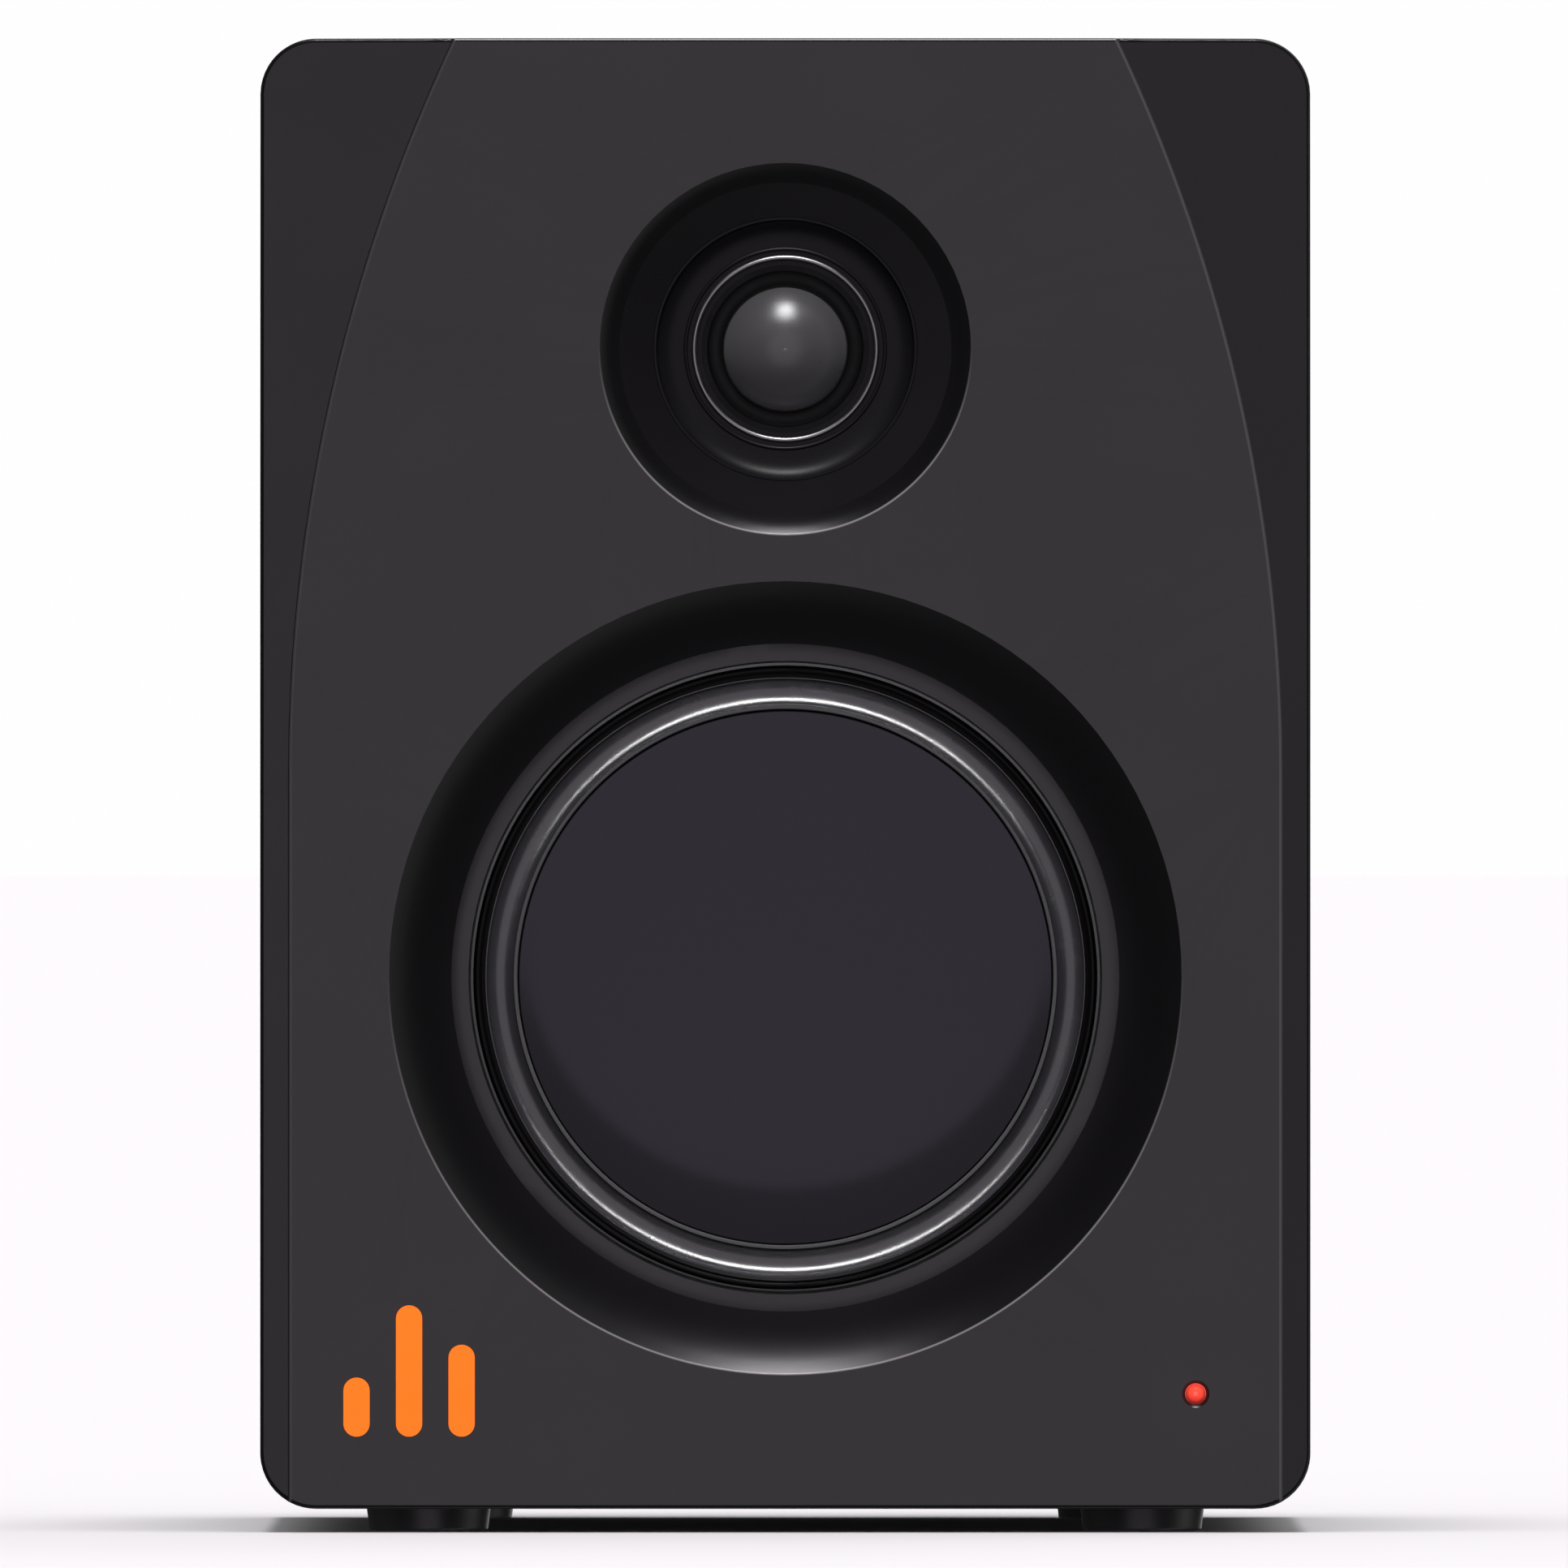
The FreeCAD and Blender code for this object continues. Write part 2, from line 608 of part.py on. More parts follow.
def badge_bar(index, growth=0.0):
    """One bar of the badge; growth widens it for the pocket that it lies in."""
    x = BADGE_X + (index - 1) * BADGE_PITCH
    height = BADGE_HEIGHTS[index]
    middle = BADGE_Z + height / 2
    half = BADGE_BAR_WIDTH / 2 + growth
    return slab(2 * half, height + 2 * growth, half - 0.01, FRONT_Y, FRONT_Y + BADGE_THICKNESS, x, middle)


def front_fascia():
    rear_y = BOARD_Y - REVEAL
    block = slab(CABINET_WIDTH, CABINET_HEIGHT, CORNER_RADIUS, FRONT_Y, rear_y)
    facet = facet_cut(0)
    block = block.cut(facet).cut(mirrored(facet))
    rim = [e for e in block.Edges if on_outline(e) and e.BoundBox.YMax < rear_y - 1]
    block = block.makeFillet(FASCIA_EDGE, rim)
    inset = slab(CABINET_WIDTH - 2 * REVEAL, CABINET_HEIGHT - 2 * REVEAL, CORNER_RADIUS - REVEAL,
                 rear_y - 1, BOARD_Y)
    block = block.fuse(inset)

    pocket = slab(CABINET_WIDTH - 2 * FASCIA_RIM, CABINET_HEIGHT - 2 * FASCIA_RIM,
                  CORNER_RADIUS - FASCIA_RIM, FRONT_Y + FASCIA_SKIN, BOARD_Y + 1)
    inner_facet = facet_cut(FASCIA_SKIN)
    kept = [
        inner_facet,
        mirrored(inner_facet),
        rod(BOWL_RADIUS + BOWL_WALL, FRONT_Y, BOARD_Y + 1, 0, WOOFER_Z),
        rod(HORN_RADIUS + BOWL_WALL, FRONT_Y, BOARD_Y + 1, 0, TWEETER_Z),
    ]
    kept += [rod(PEG_RADIUS + PEG_BOSS, FRONT_Y, BOARD_Y, x, z) for x, z in PEG_PLACES]
    block = block.cut(pocket.cut(kept))

    lip_back_y = LIP_Y + LIP_THICKNESS
    horn_back_y = HORN_END_Y + HORN_LIP
    block = block.cut([
        hollow(LIP_RADIUS, LIP_Y, bowl_outline(LIP_Y), 0, WOOFER_Z),
        hollow(HORN_END_RADIUS, HORN_END_Y, horn_outline(HORN_END_Y), 0, TWEETER_Z),
        rod(WOOFER_POCKET_RADIUS, lip_back_y, BOARD_Y + 1, 0, WOOFER_Z),
        rod(TWEETER_POCKET_RADIUS, horn_back_y, BOARD_Y + 1, 0, TWEETER_Z),
        rod(LAMP_HOLE_RADIUS, FRONT_Y - 1, FRONT_Y + 8, LAMP_X, LAMP_Z),
        Part.makeCone(LAMP_SINK_RADIUS, LAMP_HOLE_RADIUS, LAMP_SINK_RADIUS - LAMP_HOLE_RADIUS,
                      Vector(LAMP_X, FRONT_Y, LAMP_Z), Vector(0, 1, 0)),
    ])
    block = block.cut([badge_bar(i, BADGE_FIT) for i in range(len(BADGE_HEIGHTS))])
    pegs = [rod(PEG_RADIUS, BOARD_Y - 1, BOARD_Y + PEG_LENGTH, x, z) for x, z in PEG_PLACES]
    save("front_fascia", block.fuse(pegs).removeSplitter())
    save("front_badge", *[badge_bar(i) for i in range(len(BADGE_HEIGHTS))])


def on_outline(edge):
    """True for an edge that lies on the outer side walls of the cabinet's outline."""
    middle = edge.valueAt((edge.FirstParameter + edge.LastParameter) / 2)
    dx = max(abs(middle.x) - (CABINET_WIDTH / 2 - CORNER_RADIUS), 0)
    dz = max(abs(middle.z - MIDDLE_Z) - (CABINET_HEIGHT / 2 - CORNER_RADIUS), 0)
    along_y = abs(edge.tangentAt(edge.FirstParameter).y) > 0.9
    return abs(math.hypot(dx, dz) - CORNER_RADIUS) < 0.05 and not along_y


def power_lamp():
    dome_y = FRONT_Y + LAMP_RADIUS
    base_y = FRONT_Y + FASCIA_SKIN
    face = outline(
        (0, FRONT_Y),
        ((LAMP_RADIUS * math.sin(math.pi / 4), dome_y - LAMP_RADIUS * math.cos(math.pi / 4)),
         (LAMP_RADIUS, dome_y)),
        (LAMP_RADIUS, base_y),
        (LAMP_FLANGE_RADIUS, base_y),
        (LAMP_FLANGE_RADIUS, base_y + LAMP_FLANGE),
        (0, base_y + LAMP_FLANGE),
    )
    save("power_lamp", turned(face, LAMP_X, LAMP_Z))


# ---------------------------------------------------------------- woofer
def basket_shell_points():
    """The basket's outer profile from the front board back to the top plate."""
    ledge_y = BOARD_Y + SPIDER_SETBACK
    return [
        (TOP_PLATE_BORE, TOP_PLATE_Y),
        (25.0, TOP_PLATE_Y),
        (27.5, ledge_y + BASKET_SHEET),
        (32.0, ledge_y + BASKET_SHEET),
        (BASKET_RADIUS, BOARD_Y + 7.6),
        (BASKET_RADIUS, BOARD_Y),
    ]


def woofer_basket():
    ledge_y = BOARD_Y + SPIDER_SETBACK
    floor_y = TOP_PLATE_Y - BASKET_SHEET
    inner = BASKET_RADIUS - BASKET_SHEET
    face = outline(
        (FLANGE_RADIUS, FLANGE_Y),
        (inner, FLANGE_Y),
        (inner, BOARD_Y + 7),
        (31.2, ledge_y),
        (26.5, ledge_y),
        (24.0, floor_y),
        (TOP_PLATE_BORE, floor_y),
        *basket_shell_points(),
        (FLANGE_RADIUS, BOARD_Y),
    )
    basket = turned(face, 0, WOOFER_Z)
    pane_y = BOARD_Y + WINDOW_SETBACK
    beyond = BASKET_RADIUS + 3
    pane = outline(
        (WINDOW_RADIUS, pane_y),
        (beyond, pane_y),
        (beyond, ledge_y - 2),
        (WINDOW_RADIUS, ledge_y - 2),
    )
    window = turned(pane, 0, WOOFER_Z, WINDOW_ANGLE)
    hole = rod(WOOFER_SCREW_HOLE, FLANGE_Y - 1, BOARD_Y + 1, 0, WOOFER_Z + WOOFER_SCREW_CIRCLE)
    holes = around(hole, 4, 0, WOOFER_Z, 45)
    save("woofer_basket", basket.cut(around(window, 6, 0, WOOFER_Z, WINDOW_START) + holes))


def woofer_trim_ring():
    """The soft ring on the flange, with one fine raised line."""
    inner = ROLL_MIDDLE_RADIUS + ROLL_HALF_WIDTH + 0.15
    line_y = TRIM_Y + 0.55
    face = outline(
        (inner, SURROUND_Y),
        (inner, TRIM_Y + 0.9),
        (inner + 0.5, TRIM_Y + 0.35),
        (TRIM_LINE_RADIUS - TRIM_LINE_HALF_WIDTH, line_y),
        ((TRIM_LINE_RADIUS, TRIM_Y), (TRIM_LINE_RADIUS + TRIM_LINE_HALF_WIDTH, line_y)),
        (TRIM_OUTER_RADIUS, TRIM_Y + 0.8),
        (TRIM_OUTER_RADIUS, SURROUND_Y),
    )
    save("woofer_trim_ring", turned(face, 0, WOOFER_Z))


def woofer_surround():
    """A shallow roll that curves inwards, and a skirt that holds the cap and the cone's edge."""
    roll_in = ROLL_MIDDLE_RADIUS - ROLL_HALF_WIDTH
    roll_out = ROLL_MIDDLE_RADIUS + ROLL_HALF_WIDTH
    skirt_end = SURROUND_Y + SKIRT_DEPTH
    under_y = SURROUND_Y + SURROUND_SHEET
    edge = SKIRT_EDGE * (1 - math.sqrt(0.5))
    face = outline(
        (SKIRT_BORE, skirt_end),
        (SKIRT_BORE, SURROUND_Y + SKIRT_EDGE),
        ((SKIRT_BORE + edge, SURROUND_Y + edge), (SKIRT_BORE + SKIRT_EDGE, SURROUND_Y)),
        (roll_in, SURROUND_Y),
        ((ROLL_MIDDLE_RADIUS, SURROUND_Y), ROLL_HALF_WIDTH, ROLL_DEPTH, math.pi, 0),
        (SURROUND_OUTER_RADIUS, SURROUND_Y),
        (SURROUND_OUTER_RADIUS, FLANGE_Y),
        (roll_out, FLANGE_Y),
        (roll_out, under_y),
        ((ROLL_MIDDLE_RADIUS, under_y), ROLL_HALF_WIDTH, ROLL_DEPTH, 0, math.pi),
        (roll_in, skirt_end),
    )
    save("woofer_surround", turned(face, 0, WOOFER_Z))


def cap_y(radius):
    """The front of the dished cap at a radius."""
    sphere = (CAP_RADIUS ** 2 + CAP_DISH ** 2) / (2 * CAP_DISH)
    middle_y = CAP_RIM_Y + CAP_DISH
    return middle_y - (sphere - math.sqrt(sphere ** 2 - radius ** 2))


def woofer_moving_parts():
    half = CAP_RADIUS / 2
    cap = outline(
        (0, cap_y(0)),
        ((half, cap_y(half)), (CAP_RADIUS, CAP_RIM_Y)),
        (CAP_RADIUS, CAP_RIM_Y + CAP_SHEET),
        ((half, cap_y(half) + CAP_SHEET), (0, cap_y(0) + CAP_SHEET)),
    )
    save("woofer_dust_cap", turned(cap, 0, WOOFER_Z))
    seat_y = CAP_RIM_Y + CAP_SHEET
    land = CAP_RADIUS - CONE_LAND
    cone = outline(
        (FORMER_RADIUS, NECK_Y),
        (land, seat_y),
        (CAP_RADIUS, seat_y),
        (CAP_RADIUS, seat_y + CONE_SHEET),
        (land, seat_y + CONE_SHEET),
        (FORMER_RADIUS, NECK_Y + CONE_SHEET),
    )
    save("woofer_cone", turned(cone, 0, WOOFER_Z))
    coil_y = TOP_PLATE_Y + TOP_PLATE_THICKNESS / 2 - COIL_LENGTH / 2
    coil_end = coil_y + COIL_LENGTH
    former = tube(FORMER_RADIUS - FORMER_SHEET, FORMER_RADIUS, NECK_Y - 1, coil_end + 0.4, 0, WOOFER_Z)
    coil = tube(FORMER_RADIUS, FORMER_RADIUS + COIL_THICKNESS, coil_y, coil_end, 0, WOOFER_Z)
    save("woofer_voice_coil", former, coil)


def woofer_spider():
    """The corrugated centring disc between the former and the basket's ledge."""
    y = BOARD_Y + SPIDER_SETBACK - SPIDER_SHEET
    bore = FORMER_RADIUS + SPIDER_GAP
    pitch = (SPIDER_WAVE_OUTER - SPIDER_WAVE_INNER) / SPIDER_WAVES
    nodes = [SPIDER_WAVE_INNER + i * pitch for i in range(SPIDER_WAVES + 1)]

    def crest(i, base):
        return (nodes[i] + pitch / 2, base + (SPIDER_SAG if i % 2 else -SPIDER_SAG))

    front = [(crest(i, y), (nodes[i + 1], y)) for i in range(SPIDER_WAVES)]
    back_y = y + SPIDER_SHEET
    back = [(crest(i, back_y), (nodes[i], back_y)) for i in reversed(range(SPIDER_WAVES))]
    face = outline(
        (bore, y),
        (nodes[0], y),
        *front,
        (SPIDER_RADIUS, y),
        (SPIDER_RADIUS, back_y),
        (nodes[-1], back_y),
        *back,
        (bore, back_y),
    )
    save("woofer_spider", turned(face, 0, WOOFER_Z))


def woofer_motor():
    save("woofer_top_plate", tube(TOP_PLATE_BORE, TOP_PLATE_RADIUS, TOP_PLATE_Y, MAGNET_Y, 0, WOOFER_Z))
    save("woofer_magnet", tube(MAGNET_BORE, MAGNET_RADIUS, MAGNET_Y, YOKE_Y, 0, WOOFER_Z))
    plate = rod(TOP_PLATE_RADIUS, YOKE_Y, YOKE_Y + YOKE_THICKNESS, 0, WOOFER_Z)
    pole = rod(POLE_RADIUS, TOP_PLATE_Y - 1, YOKE_Y + 1, 0, WOOFER_Z)
    vent = rod(POLE_VENT_RADIUS, TOP_PLATE_Y - 2, YOKE_Y + YOKE_THICKNESS + 1, 0, WOOFER_Z)
    save("woofer_yoke", plate.fuse(pole).cut(vent).removeSplitter())


def woofer_terminals():
    """A small block on the basket's upper arm, with two solder tabs."""
    top_z = WOOFER_Z + TERMINAL_RADIUS
    block = box(-5.5, 5.5, BOARD_Y + 13, BOARD_Y + 19, WOOFER_Z + 34, top_z)
    hull = turned(outline((0, BOARD_Y), (0, TOP_PLATE_Y), *basket_shell_points()), 0, WOOFER_Z)
    block = block.cut(hull)
    tabs = [box(x - 1.4, x + 1.4, BOARD_Y + 14, BOARD_Y + TERMINAL_REACH, top_z, top_z + TAB_THICKNESS)
            for x in (-LEAD_X, LEAD_X)]
    save("woofer_terminals", block, *tabs)


def woofer_screws():
    one = screw(0, WOOFER_Z + WOOFER_SCREW_CIRCLE, FLANGE_Y, 2.5, 2.0, 1.5, 9.5, -1)
    save("woofer_screws", *around(one, 4, 0, WOOFER_Z, 45))


# ---------------------------------------------------------------- tweeter
def tweeter_faceplate():
    plate_y = HORN_END_Y + HORN_LIP + 0.1
    seat_y = HUB_FLOOR_Y + 0.5
    head_y = plate_y + TWEETER_SCREW_SINK
    quarter = math.pi / 2
    face = outline(
        (FACEPLATE_RADIUS, BOARD_Y),
        (FACEPLATE_RADIUS, plate_y),
        (HUB_RADIUS, plate_y),
        (HUB_RADIUS, HUB_Y),
        (HUB_BOWL_RADIUS, HUB_Y),
        ((HUB_FLOOR_RADIUS, HUB_Y), HUB_BOWL_RADIUS - HUB_FLOOR_RADIUS, HUB_BOWL_DEPTH, 0, quarter),
        (RIDGE_RADIUS + RIDGE_HALF_WIDTH, HUB_FLOOR_Y),
        ((RIDGE_RADIUS, HUB_FLOOR_Y - RIDGE_HEIGHT), (RIDGE_RADIUS - RIDGE_HALF_WIDTH, HUB_FLOOR_Y)),
        (RING_RADIUS + RING_HALF_WIDTH, HUB_FLOOR_Y),
        (RING_RADIUS + RING_HALF_WIDTH, seat_y),
        (HUB_BORE, seat_y),
        (HUB_BORE, DOME_Y + 0.6),
        (TWEETER_GAP_RADIUS + 0.6, DOME_Y + 0.6),
        (TWEETER_GAP_RADIUS + 0.6, DOME_Y + 1.8),
        (TWEETER_YOKE_RADIUS, DOME_Y + 1.8),
        (TWEETER_YOKE_RADIUS, BOARD_Y),
    )
    plate = turned(face, 0, TWEETER_Z)
    screw_z = TWEETER_Z + TWEETER_SCREW_CIRCLE
    hole = rod(TWEETER_SCREW_HOLE, plate_y - 1, BOARD_Y + 1, 0, screw_z)
    sink = rod(TWEETER_SCREW_HEAD + 0.15, plate_y - 1, head_y, 0, screw_z)
    save("tweeter_faceplate", plate.cut(around(hole.fuse(sink), 3, 0, TWEETER_Z)))
    ring_in = RING_RADIUS - RING_HALF_WIDTH
    ring_out = RING_RADIUS + RING_HALF_WIDTH
    side_y = HUB_FLOOR_Y - RING_RISE
    ring = outline(
        (ring_in, seat_y),
        (ring_in, side_y),
        ((RING_RADIUS, side_y - RING_HALF_WIDTH), (ring_out, side_y)),
        (ring_out, seat_y),
    )
    save("tweeter_trim_ring", turned(ring, 0, TWEETER_Z))
    one = screw(0, screw_z, head_y, TWEETER_SCREW_HEAD, 1.5, 1.25, 12.5, -1)
    save("tweeter_screws", *around(one, 3, 0, TWEETER_Z))


def tweeter_diaphragm():
    sphere = (DOME_RADIUS ** 2 + DOME_HEIGHT ** 2) / (2 * DOME_HEIGHT)
    centre_y = DOME_Y - DOME_HEIGHT + sphere
    spread = math.asin(DOME_RADIUS / sphere)
    inner = sphere - DOME_SHEET

    def on_dome(radius, angle):
        return (radius * math.sin(angle), centre_y - radius * math.cos(angle))

    dome = outline(
        on_dome(inner, 0),
        on_dome(sphere, 0),
        (on_dome(sphere, spread / 2), on_dome(sphere, spread)),
        (DOME_RADIUS, DOME_Y + 0.4),
        (DOME_RADIUS - DOME_SHEET, DOME_Y + 0.4),
        on_dome(inner, spread),
        (on_dome(inner, spread / 2), on_dome(inner, 0)),
    )
    save("tweeter_dome", turned(dome, 0, TWEETER_Z))
    former = tube(DOME_RADIUS - DOME_SHEET, DOME_RADIUS, DOME_Y + 0.4, DOME_Y + 4.4, 0, TWEETER_Z)
    coil = tube(DOME_RADIUS, DOME_RADIUS + 0.35, DOME_Y + 1.4, DOME_Y + 4.4, 0, TWEETER_Z)
    save("tweeter_voice_coil", former, coil)
    middle = (DOME_ROLL_INNER + DOME_ROLL_OUTER) / 2
    sheet = 0.25
    roll = outline(
        (DOME_ROLL_INNER, DOME_Y),
        ((middle, DOME_Y - DOME_ROLL_HEIGHT), (DOME_ROLL_OUTER, DOME_Y)),
        (HUB_BORE - 0.05, DOME_Y),
        (HUB_BORE - 0.05, DOME_Y + 0.6),
        (DOME_ROLL_OUTER, DOME_Y + 0.6),
        (DOME_ROLL_OUTER - sheet, DOME_Y),
        ((middle, DOME_Y - DOME_ROLL_HEIGHT + sheet), (DOME_ROLL_INNER + sheet, DOME_Y)),
    )
    save("tweeter_surround", turned(roll, 0, TWEETER_Z))


def tweeter_motor():
    disc_y = DOME_Y + 1.8
    magnet_y = disc_y + 2.0
    floor_y = magnet_y + 4.0
    back_y = floor_y + 2.5
    save("tweeter_pole_disc", rod(TWEETER_POLE_RADIUS, disc_y, magnet_y, 0, TWEETER_Z))
    save("tweeter_magnet", rod(TWEETER_POLE_RADIUS - 0.8, magnet_y, floor_y, 0, TWEETER_Z))
    cup = outline(
        (0, floor_y),
        (TWEETER_GAP_RADIUS + 0.8, floor_y),
        (TWEETER_GAP_RADIUS + 0.8, disc_y + 2.2),
        (TWEETER_GAP_RADIUS, disc_y + 2.0),
        (TWEETER_GAP_RADIUS, disc_y),
        (TWEETER_YOKE_RADIUS, disc_y),
        (TWEETER_YOKE_RADIUS, back_y),
        (0, back_y),
    )
    save("tweeter_yoke", turned(cup, 0, TWEETER_Z))
    end_y = BOARD_Y + CHAMBER_DEPTH
    edge = CHAMBER_EDGE * (1 - math.sqrt(0.5))
    inner = CHAMBER_RADIUS - CHAMBER_WALL
    can = outline(
        (TWEETER_YOKE_RADIUS, BOARD_Y),
        (CHAMBER_RADIUS, BOARD_Y),
        (CHAMBER_RADIUS, end_y - CHAMBER_EDGE),
        ((CHAMBER_RADIUS - edge, end_y - edge), (CHAMBER_RADIUS - CHAMBER_EDGE, end_y)),
        (0, end_y),
        (0, end_y - CHAMBER_WALL),
        (inner, end_y - CHAMBER_WALL),
        (inner, BOARD_Y + CHAMBER_WALL),
        (TWEETER_YOKE_RADIUS, BOARD_Y + CHAMBER_WALL),
    )
    chamber = turned(can, 0, TWEETER_Z)
    tabs = [box(x - 1.2, x + 1.2, end_y - 0.5, end_y + 6, TWEETER_Z - 6.4, TWEETER_Z - 5.6)
            for x in (-LEAD_X, LEAD_X)]
    save("tweeter_rear_chamber", chamber.fuse(tabs))


# ---------------------------------------------------------------- back of the cabinet
def port_tube():
    """A flared bass port: straight bore, rounded mouth and a flange on the panel."""
    rim_y = BACK_Y + PORT_FLANGE
    flare_y = rim_y - PORT_FLARE
    face = outline(
        (PORT_BORE, BACK_Y - PORT_LENGTH),
        (PORT_BORE, flare_y),
        ((PORT_MOUTH_RADIUS, flare_y), PORT_MOUTH_RADIUS - PORT_BORE, PORT_FLARE, math.pi, math.pi / 2),
        (PORT_FLANGE_RADIUS - 0.8, rim_y),
        (PORT_FLANGE_RADIUS, rim_y - 0.8),
        (PORT_FLANGE_RADIUS, BACK_Y),
        (PORT_COLLAR_RADIUS, BACK_Y),
        (PORT_COLLAR_RADIUS, BACK_Y - PANEL),
        (PORT_BORE + PORT_WALL, BACK_Y - PANEL - 6),
        (PORT_BORE + PORT_WALL, BACK_Y - PORT_LENGTH),
    )
    save("port_tube", turned(face, 0, PORT_Z))


def amplifier_plate():
    gasket = slab(PLATE_WIDTH, PLATE_HEIGHT, PLATE_CORNER, BACK_Y, PLATE_IN_Y, 0, PLATE_Z)
    plate = slab(PLATE_WIDTH, PLATE_HEIGHT, PLATE_CORNER, PLATE_IN_Y, PLATE_Y, 0, PLATE_Z)
    window = slab(CUTOUT_WIDTH, CUTOUT_HEIGHT, PLATE_CORNER, BACK_Y - 1, PLATE_IN_Y + 1, 0, PLATE_Z)
    ends = (BACK_Y - 1, PLATE_Y + 1)
    screws = []
    holes = []
    for x in (-PLATE_SCREW_X, PLATE_SCREW_X):
        for z in PLATE_SCREW_ROWS:
            holes.append(rod(PLATE_SCREW_HOLE, *ends, x, z))
            screws.append(screw(x, z, PLATE_Y, 2.7, 2.0, 1.5, 10.0, 1))
    save("plate_gasket", gasket.cut([window] + holes))
    holes += [
        rod(BUSHING_RADIUS + 0.1, *ends, KNOB_X, CONTROL_Z),
        rod(RCA_RADIUS - RCA_WALL + 0.1, *ends, RCA_X, CONTROL_Z),
        rod(JACK_BUSHING_RADIUS + 0.1, *ends, JACK_X, CONTROL_Z),
        trim_slot(*ends),
        slab(SWITCH_BODY_WIDTH + 0.4, SWITCH_BODY_HEIGHT + 0.4, 1.0, *ends, SWITCH_X, SWITCH_Z),
        slab(INLET_BODY_WIDTH + 0.4, INLET_BODY_HEIGHT + 0.4, 1.5, *ends, INLET_X, INLET_Z),
    ]
    save("amplifier_plate", plate.cut(holes))
    save("plate_screws", *screws)


def heat_sink():
    base = box(-SINK_WIDTH / 2, SINK_WIDTH / 2, PLATE_Y, PLATE_Y + SINK_BASE, SINK_LOW_Z, SINK_HIGH_Z)
    pitch = (SINK_WIDTH - SINK_FIN) / (SINK_FINS - 1)
    fins = []
    for i in range(SINK_FINS):
        x = -SINK_WIDTH / 2 + i * pitch
        fins.append(box(x, x + SINK_FIN, PLATE_Y + SINK_BASE, PLATE_Y + SINK_BASE + SINK_FIN_REACH,
                        SINK_LOW_Z, SINK_HIGH_Z))
    save("heat_sink", base.fuse(fins).removeSplitter())


# ---------------------------------------------------------------- controls
def volume_control():
    body_y = PLATE_IN_Y - 9.0
    body = rod(POT_RADIUS, body_y, PLATE_IN_Y, KNOB_X, CONTROL_Z)
    base = box(KNOB_X - 5, KNOB_X + 5, body_y + 1, PLATE_IN_Y - 1.5, INPUT_BOARD_Z, CONTROL_Z)
    bushing = rod(BUSHING_RADIUS, PLATE_IN_Y - 1, PLATE_Y + 3.2, KNOB_X, CONTROL_Z)
    bore = rod(SHAFT_RADIUS + SHAFT_FIT, PLATE_IN_Y - 4.0, PLATE_Y + 4, KNOB_X, CONTROL_Z)
    save("volume_potentiometer", body.fuse([base, bushing]).cut(bore).removeSplitter())
    save("volume_shaft", rod(SHAFT_RADIUS, PLATE_IN_Y - 3.7, END_Y - KNOB_CAP, KNOB_X, CONTROL_Z))
    pot_nut = nut(10.0, BUSHING_RADIUS, PLATE_Y, PLATE_Y + 2.0, KNOB_X, CONTROL_Z)
    jack_nut = nut(12.0, JACK_BUSHING_RADIUS, PLATE_Y, PLATE_Y + 2.2, JACK_X, CONTROL_Z)
    save("control_nuts", pot_nut, jack_nut)

    low_y = PLATE_Y + KNOB_GAP
    face = outline(
        (KNOB_HOLLOW_RADIUS, low_y),
        (KNOB_RADIUS, low_y),
        (KNOB_RADIUS, low_y + 1.5),
        (KNOB_TOP_RADIUS, END_Y - KNOB_CHAMFER),
        (KNOB_TOP_RADIUS - KNOB_CHAMFER, END_Y),
        (0, END_Y),
        (0, END_Y - KNOB_CAP),
        (SHAFT_RADIUS, END_Y - KNOB_CAP),
        (SHAFT_RADIUS, PLATE_Y + KNOB_HUB_LIFT),
        (KNOB_HOLLOW_RADIUS, PLATE_Y + KNOB_HUB_LIFT),
    )
    knob = turned(face, KNOB_X, CONTROL_Z)
    flute_foot = Vector(KNOB_X, low_y + 2.0, CONTROL_Z + KNOB_RADIUS + 0.15)
    flute = Part.makeCone(0.5, 0.7, END_Y - low_y, flute_foot, Vector(0, 1, -0.08))
    groove = box(KNOB_X - 0.4, KNOB_X + 0.4, END_Y - 0.35, END_Y + 1,
                 CONTROL_Z + 2.0, CONTROL_Z + KNOB_RADIUS)
    save("volume_knob", knob.cut(around(flute, KNOB_FLUTES, KNOB_X, CONTROL_Z) + [groove]))


def trim_slot(y0, y1):
    reach = TRIM_TRAVEL + TRIM_LEVER / 2 + 0.35
    half = TRIM_LEVER / 2 + 0.3
    return box(TRIM_SWITCH_X - reach, TRIM_SWITCH_X + reach, y0, y1, CONTROL_Z - half, CONTROL_Z + half)


def trim_switch():
    housing = box(TRIM_SWITCH_X - 9.5, TRIM_SWITCH_X + 9.5, PLATE_IN_Y - 7, PLATE_IN_Y,
                  INPUT_BOARD_Z, CONTROL_Z + 4.3)
    save("trim_switch", housing.cut(trim_slot(PLATE_IN_Y - 3, PLATE_IN_Y + 1)))
    half = TRIM_LEVER / 2
    lever = box(TRIM_SWITCH_X - half, TRIM_SWITCH_X + half, PLATE_IN_Y - 2.7, PLATE_Y + 2.8,
                CONTROL_Z - half, CONTROL_Z + half)
    tips = [e for e in lever.Edges if e.BoundBox.YMin > PLATE_Y + 2.7]
    save("trim_lever", lever.makeFillet(0.5, tips))


